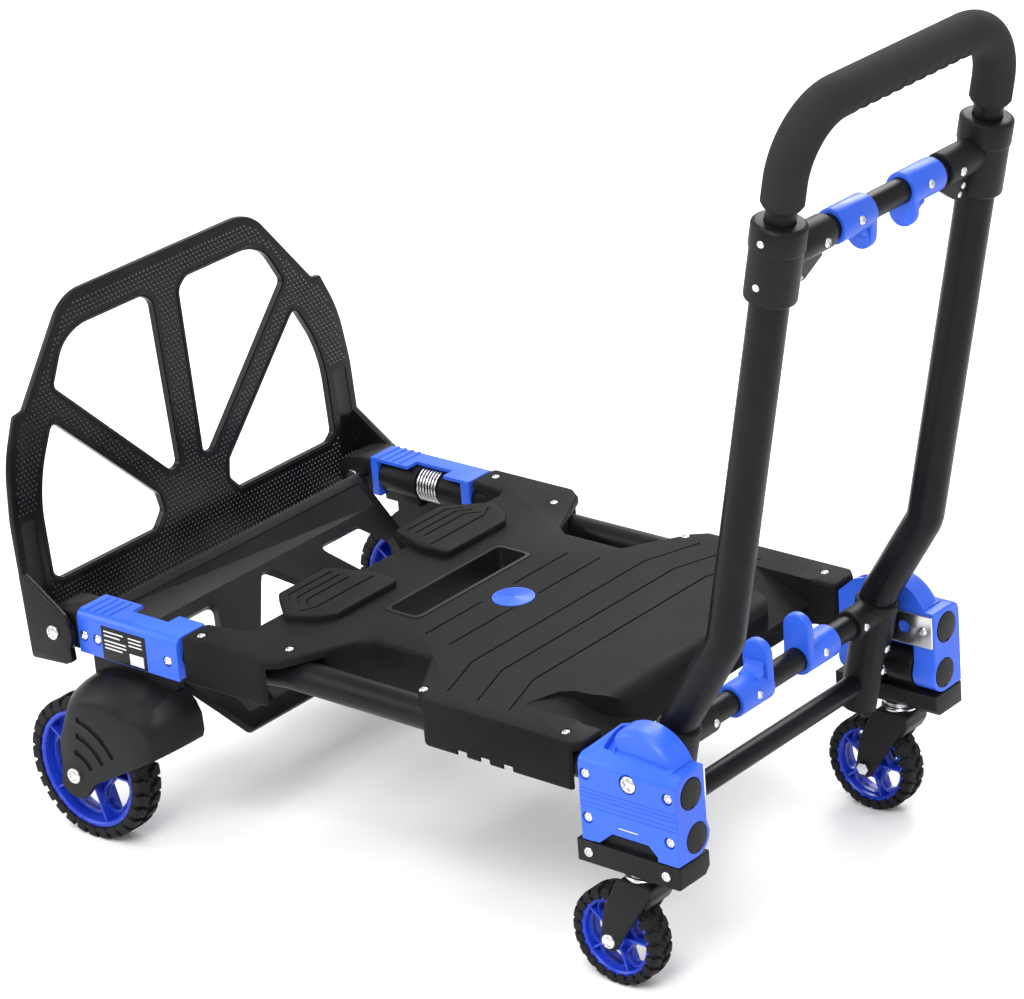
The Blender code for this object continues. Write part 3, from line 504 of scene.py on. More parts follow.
def add_deck():
    lip = slab(round_outline(deck_outline(), 7), "XY", DECK_LOW, DECK_TOP, 4.0)
    grooves = [slab(band(line, 2.2), "XY", DECK_TOP - 1.3, DECK_TOP + 5, 0.2, (False, False))
               for line in groove_lines()]
    recess = spin([(0.01, -1.5), (22.5, -1.5), (22.5, 6), (0.01, 6)], (EMBLEM_X, 0, DECK_TOP), UP, 64)
    wells = [rod((x, y, DECK_TOP - 1.8), (x, y, DECK_TOP + 3), 5.4, 0.2, 32) for x, y in deck_screw_spots()]
    place("deck_shell", lip, DECK, "frame", ["deck_panel"], cut=deck_cuts() + grooves + [recess] + wells)
    for name, s in SIDES:
        lines = [[(x, s * 58), (x, s * 122), (x + 12, s * 134)] for x in (-202, -190, -178)]
        slots = [slab(band(line, 2.4), "XY", 250.6, 256, 0.2, (False, False)) for line in lines]
        rim = [slab(band([(-158, s * 44), (-158, s * 130), (-166, s * 146)], 2.4), "XY", 250.6, 256, 0.2,
                    (False, False))]
        place(f"deck_pad_{name}", slab(pad_outline(s), "XY", DECK_TOP - 1, 252, 2.0, (False, True), corner=9),
              DECK, "frame", cut=slots + rim)
    rings = [(0.5, -1.4), (21.5, -1.4), (21.5, 0.5)]
    for r in (20.5, 17.5, 14.5, 11.5, 8.5, 5.5):
        rings += [(r, 0.7), (r - 1.4, 0.7), (r - 1.6, 0.1), (r - 2.2, 0.1)]
    rings += [(2.5, 0.7), (1.1, 0.7)]
    place("deck_emblem", spin(rings, (EMBLEM_X, 0, DECK_TOP), UP, 64), BLUE, "frame")
    place("slot_frame", slab([(-107, -90), (-61, -90), (-61, 90), (-107, 90)], "XY", 212, DECK_TOP + 1.0, 0.8,
                             corner=9), PLASTIC, "frame",
          cut=[slab([(-103, -86), (-65, -86), (-65, 86), (-103, 86)], "XY", 205, 252, 0.5, corner=7)])
    screws("deck_screws", "frame", [((x, y, DECK_TOP - 1.6), UP, 4.6) for x, y in deck_screw_spots()])


def add_rail(name, s):
    path = rounded_path([(-384, s * RAIL_REAR_Y, RAIL_Z), (-215, s * RAIL_REAR_Y, RAIL_Z),
                         (-130, s * RAIL_Y, RAIL_Z), (360, s * RAIL_Y, RAIL_Z)], 60)
    place(f"rail_tube_{name}", sweep(path, RAIL_R, 56, 14.4), STEEL, "frame", [f"rail_{name}"])
    for node, y, z in (("rail_plug", RAIL_Y, RAIL_Z), ("caster_plug", LOW_TUBE_Y, LOW_TUBE_Z)):
        notch = rod((358, s * y, z - 15), (366, s * y, z - 15), 2.4, 0.3, 20)
        disc = rod((359.2, s * y, z), (361.6, s * y, z), 15, 0.6, 56)
        stem = rod((348, s * y, z), (360, s * y, z), 12.6, 0.5)
        place(f"{node}_cap_{name}", disc, PLASTIC, "frame", [f"{node}_{name}"], add=[stem], cut=[notch])
    y = s * LOW_TUBE_Y
    place(f"caster_axis_{name}", sweep([(249, y, LOW_TUBE_Z), (360, y, LOW_TUBE_Z)], 15, 48, 13), STEEL,
          "frame", [f"caster_tube_{name}"])


BRACKET_SCREWS = ((-372, 216), (-353, 216), (-256, 216))


def add_rear_bracket(name, s):
    outer = [(246, 197)] + arc((237, 234), 9, 0, 90, 8) + [(203, 243), (203, 239.4)]
    outer += arc((236.4, 233.4), 6, 90, 0, 6) + [(242.4, 197)]
    shell = slab([(s * y, z) for y, z in outer], "YZ", -380, -242, 0.8)
    step = side_block(s, (-327, -277), (200, 219), (236, 246), 0.8)
    ends = [slab(round_outline([(s * 203, 198), (s * 203, 242), (s * 245, 242, 9), (s * 245, 198)], 4),
                 "YZ", a, b, 0.8) for a, b in ((-380, -371), (-254, -242))]
    ribs = [side_block(s, (x, x + 3), (206, 240), (242, 244.2), 0.6) for x in (-372, -362, -352, -342)]
    bore = rod((-390, s * RAIL_REAR_Y, RAIL_Z), (-230, s * RAIL_REAR_Y, RAIL_Z), 16.5, 0.2, 56)
    wells = [cross_rod(s, x, z, 244, 250, 6.1, 0.2, 40) for x, z in BRACKET_SCREWS]
    place(f"rear_bracket_shell_{name}", shell, BLUE, "frame", [f"rear_bracket_{name}"], add=ends + ribs,
          cut=[step, bore] + wells)
    film = side_block(s, (-346, -285), (245.6, 246.7), (197.6, 234), 0.5)
    place(f"rear_label_{name}", film, LABEL, "frame")
    bars = [side_block(s, (-342, -342 + w), (246.2, 247.0), (z, z + 1.6), 0.2)
            for z, w in ((228, 27), (223.5, 22), (218, 30), (214, 30), (210, 24))]
    bars += [side_block(s, (-308, -290), (246.2, 247.0), (z, z + 1.4), 0.2) for z in (228, 224, 220)]
    bars.append(side_block(s, (-308, -289), (246.2, 247.0), (200, 212), 0.2))
    place(f"rear_label_print_{name}", bars, PALE, "frame")
    outward = (0, s, 0)
    spots = [((x, s * 244.2, z), outward, 5.2) for x, z in BRACKET_SCREWS]
    screws(f"rear_bracket_screws_{name}", "frame", spots)


def add_end_fitting(name, s):
    x, z = TOE_PIVOT.x, TOE_PIVOT.z
    barrel = cross_rod(s, x, z, 204, 246, 23, 2.5, 64)
    link = side_block(s, (x, -380.6), (204, 246), (199, 240), 2)
    pocket = [side_block(s, (-400, -388), (200, 209), (204, 214), 1)]
    bore = rod((-386, s * RAIL_REAR_Y, RAIL_Z), (-370, s * RAIL_REAR_Y, RAIL_Z), 16.5, 0.2, 56)
    hole = cross_rod(s, x, z, 200, 250, 5.4, 0.2, 32)
    pin = cross_rod(s, BRACE_PIVOT.x, BRACE_PIVOT.z, 200, 213, 4.4, 0.2, 24)
    place(f"end_fitting_body_{name}", barrel, PLASTIC, "frame", [f"end_fitting_{name}"], add=[link],
          cut=[bore, hole, pin] + pocket)
    shank = cross_rod(s, x, z, 201, 257, 5, 0.4, 32)
    nut = cross_rod(s, x, z, 199, 203.6, 8, 0.8, 6)
    place(f"toe_bolt_shank_{name}", [shank, nut], ZINC, "frame")
    screws(f"toe_bolt_head_{name}", "frame", [((x, s * 256.4, z), (0, s, 0), 8)], nodes=[f"toe_bolt_{name}"])


# ---------------------------------------------------------------- front covers and casters

def cover_top(s, x, top):
    """Section of the cover's crown: it rolls over from the outer wall to a flat top."""
    half = [(184, 215), (227.8, 215), (227.8, 230), (226, 235.5), (222.5, top - 5.5), (217, top - 2),
            (211, top - 0.6), (184, top)]
    return [(x, s * y, z) for y, z in half]


def add_front_cover(name, s):
    low_wall = [(250, 152.8), (268, 152.8), (284, 166), (326, 166), (340, 152.8), (361, 152.8), (361, 231),
                (249, 231)]
    block_outline = [(s * y, z) for y, z in ((184, 201), (228, 201), (228, 231), (226, 236), (221, 239.4),
                                             (214, 240), (184, 240))]
    core = slab(block_outline, "YZ", 248, 361, 1.6)
    ear_points = [(228, 152.8), (228, 206), (184, 206), (184, 184)]
    ear_points += arc((LOW_TUBE_Y, LOW_TUBE_Z), 19.6, 180, 270, 12)
    ears = [slab([(s * y, z) for y, z in ear_points], "YZ", a, b, 1.0) for a, b in ((248, 262), (336, 361))]
    rows = [(184.3, 47), (203, 46.8), (208, 46.2), (211.4, 44.8), (213.2, 42.6)]
    hump = skin([[(x, s * y, z) for x, z in arc((PIVOT_X, PIVOT_Z), radius, 5, 175, 40)] for y, radius in rows])
    crown = hull(cover_top(s, 264, 247) + cover_top(s, 306, 247.5) + cover_top(s, 349, 242))
    shoulder = cover_top(s, 250, 241)
    for x, rise in ((268, 0), (284, 5)):
        half = [(184.2, 257 + rise), (198, 256 + rise), (210, 251 + rise), (219, 243), (226, 234),
                (227.8, 229), (184.2, 215), (227.8, 215)]
        shoulder += [(x, s * y, z) for y, z in half]
    groove = hull([(x, s * y, z) for x in (272, 283) for y, z in
                   ((217, 240.5), (188, 254), (188, 285), (217, 285))])
    outer_wall = side_slab(s, low_wall, (223, 228), 1.2, corner=2)
    slit = side_block(s, (291, 315), (224.5, 232), (173, 175.4), 0.3)
    lines = [side_block(s, (246, 365), (227.5, 232), (z, z + 1.0), 0.2) for z in (188, 192.5, 198, 202, 206)]
    spots = [(256, 221, 5.2), (256, 176, 5.2), (351, 220, 5.2), (351, 175.5, 5.2), (306, 223, 9.0)]
    wells = [cross_rod(s, x, z, 224.6, 231, radius + 0.9, 0.2, 40) for x, z, radius in spots]
    cuts = [groove, rod((240, s * RAIL_Y, RAIL_Z), (370, s * RAIL_Y, RAIL_Z), 15.9, 0.2, 56),
            rod((240, s * LOW_TUBE_Y, LOW_TUBE_Z), (370, s * LOW_TUBE_Y, LOW_TUBE_Z), 15.4, 0.2, 56),
            cross_rod(s, PIVOT_X, PIVOT_Z, 180, 235, 5.4, 0.2, 32), slit] + lines + wells
    place(f"front_cover_shell_{name}", core, BLUE, "frame", [f"front_cover_{name}"],
          add=[outer_wall, crown, hull(shoulder), hump] + ears, cut=cuts)
    heads = [((x, s * 225.2, z), (0, s, 0), radius) for x, z, radius in spots[:4]]
    heads.append(((350, s * 183.6, 172), (0, -s, 0), 4.6))
    screws(f"front_cover_screws_{name}", "frame", heads)
    # Painted highlight: a zinc strip set in the slit to give the bright line along its lower edge by reflecting
    # the white surroundings.
    highlight_strip = side_block(s, (291.4, 314.6), (225, 227.4), (173.4, 174.8), 0.2)
    place(f"slit_highlight_strip_{name}", highlight_strip, ZINC, "frame")
    plate = side_block(s, (312, 360), (181.4, 183.6), (203, 237), 0.8)
    hole = cross_rod(s, 328, 221, 175, 190, 6.5, 0.2, 40)
    place(f"lock_plate_steel_{name}", plate, ZINC, "frame", [f"lock_plate_{name}"], cut=[hole])
    screws(f"lock_plate_screw_{name}", "frame", [((350, s * 181.4, 221), (0, -s, 0), 4.4)])
    screws(f"pivot_bolt_head_{name}", "frame", [((306, s * 225.2, 222.5), (0, s, 0), 9)],
           nodes=[f"pivot_bolt_{name}"])
    shank = cross_rod(s, PIVOT_X, PIVOT_Z, 166, 227, 5, 0.3, 32)
    place(f"pivot_bolt_shank_{name}", shank, ZINC, "frame")


def add_caster(name, s):
    arm, fork, wheel = f"caster_arm_{name}", f"caster_swivel_{name}", f"caster_wheel_{name}"
    y = s * CASTER_Y
    section = [(s * a, z) for a, z in ((228, 129), (228, 151.3), (183, 151.3), (183, 136), (190, 129))]
    body = slab(section, "YZ", 241, 361, 1.4)
    rise = side_block(s, (264, 334), (190, 222), (147, 163), 2)
    tube_y = s * LOW_TUBE_Y
    barrels = [rod((a, tube_y, LOW_TUBE_Z), (b, tube_y, LOW_TUBE_Z), 19.6, 1.2, 56)
               for a, b in ((264, 284), (304, 334))]
    cuts = [rod((255, tube_y, LOW_TUBE_Z), (343, tube_y, LOW_TUBE_Z), 15.4, 0.2, 56),
            rod((284.2, tube_y, LOW_TUBE_Z), (303.8, tube_y, LOW_TUBE_Z), 19.0, 0.2, 56),
            rod((SWIVEL_X, y, 120), (SWIVEL_X, y, 148), 6.5, 0.2, 40)]
    place(f"caster_block_{name}", body, PLASTIC, arm, [f"caster_carrier_{name}"], add=[rise] + barrels,
          cut=cuts)
    place(f"caster_coil_{name}", coil((286, tube_y, LOW_TUBE_Z), (302, tube_y, LOW_TUBE_Z), 17.0, 1.3, 5),
          ZINC, arm, [f"caster_spring_{name}"])
    spots = [((x, s * 228, 140), (0, s, 0), 5.0) for x in (255, 345)]
    screws(f"caster_block_screws_{name}", arm, spots)
    race = [(0.5, 0), (17, 0), (19.5, 1.2), (20, 3), (19, 4.6), (17, 5.4), (17.6, 7), (17, 8.6), (15, 9.4),
            (0.5, 9.4)]
    place(f"caster_race_{name}", spin(race, (SWIVEL_X, y, 119.3), UP, 64), ZINC, fork)
    cup = [(0.5, 0), (19, 0), (20.2, 1.5), (20.2, 7), (18.5, 8.4), (0.5, 8.4)]
    legs = []
    for side in (-1, 1):
        outline = [(SWIVEL_X - 19, 119), (SWIVEL_X + 20, 119), (SWIVEL_X + 19, 110), (284, 52)]
        outline += arc((CASTER_X, CASTER_R), 11, -10, -170, 10) + [(260, 54), (266, 84)]
        legs.append(slab(round_outline(outline, 4), "XZ", y + side * 17.6, y + side * 20.4, 0.9))
    crown = block((SWIVEL_X - 19, y - 20.2, 111.5), (SWIVEL_X + 20, y + 20.2, 117.5), 1.8)
    skirt = slab(round_outline([(SWIVEL_X + 8, 118), (SWIVEL_X + 20, 118), (SWIVEL_X + 18, 104),
                                (SWIVEL_X + 11, 92), (SWIVEL_X + 8, 98)], 2), "XZ", y - 18, y + 18, 1.0)
    place(f"caster_fork_body_{name}", legs + [crown, skirt, spin(cup, (SWIVEL_X, y, 111.2), UP, 64)], PLASTIC,
          fork, [f"caster_fork_{name}"])
    place(f"caster_stem_{name}", rod((SWIVEL_X, y, 126), (SWIVEL_X, y, 146), 6, 0.4, 32), ZINC, fork)
    x, z = CASTER_X, CASTER_R
    shank = rod((x, y - 24, z), (x, y + 24, z), 4, 0.4, 24)
    nut = rod((x, y - s * 20.8, z), (x, y - s * 25, z), 7, 0.8, 6)
    place(f"caster_axle_shank_{name}", [shank, nut], ZINC, fork)
    screws(f"caster_axle_head_{name}", fork, [((x, y + s * 20.8, z), (0, s, 0), 7.5)],
           nodes=[f"caster_axle_{name}"])
    add_wheel(name, "caster", (x, y, z), CASTER_R, CASTER_RIM_R, 29.4, 4.4, 11, 22, wheel)


LUG_DEPTH, SPOKES, SPOKE_HALF = 0.045, 5, 1.1      # lugs as a share of the wheel's radius


def around(turn):
    return Vector((math.cos(turn), 0, math.sin(turn)))


def add_wheel(name, kind, centre, radius, rim_r, width, bore, hub_r, lugs, body):
    """A blue spoked rim in a rubber tyre with staggered shoulder lugs."""
    w, r, q = width / 2, rim_r + 0.4, rim_r
    centre = Vector(centre)
    base = radius * (1 - LUG_DEPTH)
    tyre = [(r, -w + 3), (r + 1.5, -w + 1.2), (r + 4, -w + 0.3), (base - 4, -w + 1), (base - 1, -w + 4),
            (base, -w + 8), (base, w - 8), (base - 1, w - 4), (base - 4, w - 1), (r + 4, w - 0.3),
            (r + 1.5, w - 1.2), (r, w - 3)]
    solids = [spin(tyre, centre, (0, 1, 0), 120)]
    pitch = 2 * math.pi / lugs
    for side in (-1, 1):
        for i in range(lugs):
            middle = (i + (0.5 if side > 0 else 0)) * pitch
            for start, end, reach in ((-0.34, 0.10, w * 0.16), (0.10, 0.30, w * 0.46)):
                loops = []
                for k in range(5):
                    t = middle + pitch * (start + (end - start) * k / 4)
                    out = around(t)
                    profile = [(base - 9, w - 0.9), (base - 5, w), (radius - 2.6, w - 0.8),
                               (radius - 0.6, w - 3), (radius, w - 6), (radius, reach),
                               (base - 2, reach - 1), (base - 9, reach)]
                    loops.append([centre + out * rr + Vector((0, side * hh, 0)) for rr, hh in profile])
                solids.append(skin(loops))
    place(f"{kind}_tread_{name}", solids, RUBBER, body, [f"{kind}_tyre_{name}"])
    barrel = [(q - 5, -w + 4), (q - 3.6, -w + 2.6), (q - 0.4, -w + 3), (q, -w + 4), (q, w - 4),
              (q - 0.4, w - 3), (q - 3.6, w - 2.6), (q - 5, w - 4), (q - 6, 0)]
    hub = [(bore, -w + 2), (hub_r - 1, -w + 2), (hub_r, -w + 3), (hub_r + 0.6, 0), (hub_r, w - 3),
           (hub_r - 1, w - 2), (bore, w - 2)]
    web = [(hub_r - 1, -2), (q - 4, -2), (q - 4, 2), (hub_r - 1, 2)]
    spokes, holes = [], []
    middle_r, hole_r = (hub_r + q) / 2, (q - hub_r) * 0.27
    for i in range(SPOKES):
        t = 2 * math.pi * i / SPOKES
        out, across = around(t), Vector((-math.sin(t), 0, math.cos(t)))
        corners = [centre + out * a + across * b for a, b in
                   ((hub_r - 2, -SPOKE_HALF), (q - 3, -SPOKE_HALF), (q - 3, SPOKE_HALF),
                    (hub_r - 2, SPOKE_HALF))]
        spokes.append(skin([[c + Vector((0, h, 0)) for c in corners] for h in (-w + 5, w - 5)]))
        holes.append(oval(hole_path(centre, t + math.pi / SPOKES, middle_r), hole_r))
    place(f"{kind}_rim_web_{name}", spin(web, centre, (0, 1, 0), 96), RIM_BLUE, body, cut=[join(holes)])
    lips = [oval_rim(hole_path(centre, 2 * math.pi * (i + 0.5) / SPOKES, middle_r), hole_r)
            for i in range(SPOKES)]
    place(f"{kind}_rim_body_{name}", [spin(barrel, centre, (0, 1, 0), 96), spin(hub, centre, (0, 1, 0), 64)]
          + spokes + lips, RIM_BLUE, body, [f"{kind}_rim_{name}"])


def hole_path(centre, turn, radius):
    """The short curved middle line of an oval hole in a wheel's web."""
    return [centre + around(turn + a) * radius for a in (-0.26, 0, 0.26)]


def oval_points(path, radius, grow=0.0, count=14):
    """Points of a rounded slot around a short curved path that lies in an XZ plane."""
    r = radius + grow
    first, last = path[0], path[-1]
    d0, d1 = (path[1] - path[0]).normalized(), (path[-1] - path[-2]).normalized()
    n0, n1 = Vector((-d0.z, 0, d0.x)), Vector((-d1.z, 0, d1.x))
    out = [first + n0 * (r * math.cos(a)) - d0 * (r * math.sin(a))
           for a in [math.pi - math.pi * k / count for k in range(count + 1)]]
    dm = (path[2] - path[0]).normalized()
    nm = Vector((-dm.z, 0, dm.x))
    out.append(path[1] + nm * r)
    out += [last + n1 * (r * math.cos(a)) + d1 * (r * math.sin(a))
            for a in [math.pi * k / count for k in range(count + 1)]]
    out.append(path[1] - nm * r)
    return out


def oval(path, radius):
    points = oval_points(path, radius)
    return skin([[p + Vector((0, h, 0)) for p in points] for h in (-9, 9)])


def oval_rim(path, radius):
    loops = [[p + Vector((0, h, 0)) for p in oval_points(path, radius, grow)]
             for grow, h in ((0.0, -5.5), (0.0, 5.5), (1.6, 5.5), (1.6, -5.5))]
    return skin(loops, closed=True)


# ---------------------------------------------------------------- rear end

def fender_outline():
    """Side view of the wheel's fender: a lobe round the axle, a straight foot and a round crown."""
    x, z = REAR_AXLE.x, REAR_AXLE.z
    lobe = arc((x, z), 25, 205, 299, 10)
    foot = [(x0, 79.3 + 0.556 * (x0 + 330)) for x0 in (-340, -320, -295, -270, -250, -236)]
    front = [(-233, 140), (-234, 158), (-240, 170), (-252, 181)]
    return [(-390, 126), (-390, 100)] + lobe + foot + front + arc((-318, 99), 90, 62, 134, 16)


def add_wheel_carrier(name, s):
    body = f"rear_arm_{name}"
    x, z = REAR_AXLE.x, REAR_AXLE.z
    y = s * RAIL_REAR_Y
    loops = []
    foot = Vector((-330, 79))
    axle = Vector((x, z))
    for depth, scale in ((228, 1.0), (240, 0.995), (250, 0.985), (259, 0.965), (267, 0.93), (274, 0.89),
                         (279.5, 0.845), (283.2, 0.80), (285, 0.75)):
        loop = []
        for a, b in fender_outline():
            p = Vector((a, b))
            away = max(0.0, min(1.0, ((p - axle).length - 26) / 44))
            p = foot + (p - foot) * (1 - (1 - scale) * away)
            loop.append((p.x, s * depth, min(p.y, 186)))
        loops.append(loop)
    shell = skin(loops)
    hollow = [(0.5, 234), (82, 234), (82, 263), (78, 271), (66, 277.5), (0.5, 277.5)]
    cavity = spin(hollow, (x, 0, z), (0, s, 0), 96)
    skirt_cut = side_slab(s, [(-420, 40), (-392, 40), (-384, 90), (-386, 190), (-420, 190)], (220, 300), 0.5)
    vents = []
    for radius, start, end in ((28, 26, 82), (48, 28, 80), (67, 30, 80)):
        strip = band(arc((x, z), radius, start, end, 12), 6.5)
        vents.append(side_slab(s, strip, (FENDER_OUT_Y - 2.2, FENDER_OUT_Y + 5), 0.3))
    necks = [side_block(s, (a, b), (211, 239), (193, RAIL_Z), 1.5)
             for a, b in ((-370, -320.6), (-287.4, -254.6))]
    saddle = side_block(s, (-370, -254.6), (228.4, 239), (160, 196), 2)
    barrels = [rod((a, y, RAIL_Z), (b, y, RAIL_Z), 19.2, 1.0, 56)
               for a, b in ((-370.4, -320.4), (-287.6, -254.4))]
    holes = [rod((-380, y, RAIL_Z), (-245, y, RAIL_Z), 16.5, 0.2, 56),
             cross_rod(s, x, z, 200, 300, 5.4, 0.2, 32)]
    place(f"wheel_fender_{name}", shell, PLASTIC, body, [f"wheel_carrier_{name}"],
          add=[saddle] + necks + barrels, cut=[cavity, skirt_cut] + holes + vents)
    place(f"carrier_coil_{name}", coil((-318, y, RAIL_Z), (-290, y, RAIL_Z), 17.9, 1.3, 7), ZINC, body,
          [f"carrier_spring_{name}"])
    place(f"rear_axle_shank_{name}", cross_rod(s, x, z, 228.5, 286, 5, 0.4, 32), ZINC, body)
    screws(f"rear_axle_head_{name}", body, [((x, s * 285.2, z), (0, s, 0), 8.6)], nodes=[f"rear_axle_{name}"])
    add_wheel(name, "rear", (x, s * 254, z), REAR_R, REAR_RIM_R, 35, 5.4, 15, 28, f"rear_wheel_{name}")


def add_brace():
    turn = Matrix.Translation(BRACE_PIVOT) @ Matrix.Rotation(math.radians(44), 4, "Y")
    half = [(186, 142), (150, 158), (82, 190), (-3, 190)]
    board = slab(round_outline(half + mirrored(half, -1)[::-1], 8), "XY", -5.5, 5.5, 1.8)
    side_window = [(50, 78), (50, 150), (78, 172), (112, 168), (112, 126), (92, 106)]
    cuts = [slab(mirrored(side_window, s), "XY", -20, 20, 0.5, corner=7) for _, s in SIDES]
    middle_window = [(46, -6), (46, 6), (54, 14), (112, 66), (112, -66), (54, -14)]
    cuts.append(slab(middle_window, "XY", -20, 20, 0.5, corner=6))
    cuts.append(slab([(128, -138), (168, -132), (168, 132), (128, 138)], "XY", 3.2, 9, 0.5, corner=6))
    cuts.append(block((8, -180, 3.8), (38, 180, 9), 1.0))
    ribs = [block((126, y - 1.4, 0), (170, y + 1.4, 5.2), 0.5) for y in (-96, -48, 0, 48, 96)]
    place("brace_board", board, PLASTIC, "brace", ["brace_panel"], cut=cuts, move=turn)
    place("brace_ribs", ribs, PLASTIC, "brace", move=turn)
    place("brace_pin", rod((0, -210, 0), (0, 210, 0), 4, 0.4, 24), STEEL, "brace", move=turn)


TOE_UPPER = [(18, 92), (24, 88), (32, 88), (172, 229), (151, 268, 60), (126, 280, 60), (33, 280, 14),
             (20, 270, 14)]
TOE_LOWER = [(54, 70), (50, 50), (64, 34), (203, 34), (214, 42), (214, 116, 150), (205, 152, 150), (182, 196)]


def toe_outline():
    half = [(256, -34), (256, 112, 170), (249, 172, 150), (229, 217, 5), (216, 219, 3)]
    half += arc((112, 262), 55, 36, 90, 12)
    return half + [(-p[0], *p[1:]) for p in reversed(half)]


def inside(point, outline):
    x, y = point
    hit = False
    for (x0, y0), (x1, y1) in zip(outline, outline[1:] + outline[:1]):
        if (y0 > y) != (y1 > y) and x < x0 + (y - y0) * (x1 - x0) / (y1 - y0):
            hit = not hit
    return hit


def loop_strip(outline, inset, width, low, high):
    """A raised lip that follows a closed outline at a distance inside it."""
    a = [Vector(p) for p in offset_outline(outline, inset)]
    b = [Vector(p) for p in offset_outline(outline, inset + width)]
    loops = []
    for pts, level in ((a, low), (a, high - 0.5), (offset_outline(a, width * 0.2), high),
                       (offset_outline(b, -width * 0.2), high), (b, high - 0.5), (b, low)):
        loops.append([PLANES["YZ"](p.x, p.y, level) for p in pts])
    return skin(loops, closed=True)


def add_toe():
    turn = Matrix.Translation(TOE_PIVOT) @ Matrix.Rotation(math.radians(-4), 4, "Y")
    near, far = -39.0, -32.0
    outline = round_outline(toe_outline(), 10, 6)
    windows = [round_outline(mirrored_window(w, s), 8, 5) for w in (TOE_UPPER, TOE_LOWER) for _, s in SIDES]
    cuts = [slab(w, "YZ", near - 5, far + 5, 0.3) for w in windows]
    cuts.append(rod((0, -270, 0), (0, 270, 0), 5.4, 0.2, 32))
    cheeks = []
    for _, s in SIDES:
        cheek = [(near, -34), (10, -34), (20, -30)] + arc((0, 0), 25, -38, 60, 12) + [(near, 62)]
        cheeks.append(side_slab(s, round_outline(cheek, 4), (248, 256), 1.5))
        bar = [(s * 226, 20), (s * 247, 20), (s * 246, 108), (s * 226, 108)]
        cuts.append(slab(round_outline(bar, 5), "YZ", far - 0.8, far + 5, 0.3))
    place("toe_frame", slab(outline, "YZ", near, far, 2.0), GLOSS, "toe", ["toe_plate"], add=cheeks, cut=cuts,
          move=turn)
    lips = [loop_strip(w, -4.0, 2.4, far - 1.0, far + 1.2) for w in windows]
    lips += [loop_strip(w, -4.0, 2.4, near + 1.0, near - 1.2) for w in windows]
    place("toe_lips", lips, GLOSS, "toe", move=turn)
    dots = bmesh.new()
    pitch, row_step = 5.4, 5.4 * 0.866
    rim = [tuple(p) for p in offset_outline(outline, 9)]
    holes = [[tuple(p) for p in offset_outline(w, -7.5)] for w in windows]
    for row in range(-6, 67):
        for column in range(-47, 48):
            y, h = (column + 0.5 * (row % 2)) * pitch, row * row_step
            bar = abs(y) > 221 and 14 < h < 114
            if bar or not inside((y, h), rim) or any(inside((y, h), w) for w in holes):
                continue
            for base, tip in ((far - 0.3, far + 0.9), (near + 0.3, near - 0.9)):
                foot = ring(Vector((base, y, h)), 1.7, Vector((0, 1, 0)), UP, 6)
                head = ring(Vector((tip, y, h)), 0.9, Vector((0, 1, 0)), UP, 6)
                skin([foot, head], bm=dots)
    # The dots' lighter base colour is painted highlight.
    place("toe_dots_painted_sheen", dots, DOTS_PAINTED_SHEEN, "toe", move=turn)


def mirrored_window(window, s):
    return [(s * p[0], *p[1:]) for p in window]


# ---------------------------------------------------------------- handle

def on_line(y, s):
    return Vector((LINE_BASE[0] + s * math.sin(TILT), y, LINE_BASE[1] + s * math.cos(TILT)))


def hub_at(y, z):
    return Vector((288 + (z - 138) * 27 / 120, y, z))


def add_hub(name, s):
    y = s * HUB_Y
    body = rod(hub_at(y, 138), hub_at(y, 258), 20.5, 2.2, 64)
    collar = rod(hub_at(y, 246), hub_at(y, 257.6), 21.6, 2.0, 64)
    branch = cross_rod(s, BAR_X, BAR_Z, 112, 150, 16, 1.6, 48)
    cuts = [side_block(s, (250, 335), (156, 190), (120, 196), 0.5),
            rod(hub_at(y, 232), hub_at(y, 270), 18.4, 0.2, 56),
            cross_rod(s, BAR_X, BAR_Z, 105, 134, 12.4, 0.2, 40),
            cross_rod(s, PIVOT_X, PIVOT_Z, 165, 190, 5.4, 0.2, 32),
            rod(hub_at(s * 150, 160), hub_at(s * 120, 160), 6.4, 0.2, 24)]
    place(f"hub_body_{name}", body, PLASTIC, "handle", [f"handle_hub_{name}"], add=[collar, branch], cut=cuts)
    spots = [(hub_at(y, 205) + Vector((20.3, 0, 0)), (1, 0, -0.22), 4.2),
             (Vector((BAR_X + 15.8, s * 120, BAR_Z)), (1, 0, 0), 4.0),
             (hub_at(y, 180) + Vector((20.3, 0, 0)), (1, 0, -0.22), 4.2)]
    screws(f"hub_screws_{name}", "handle", spots)


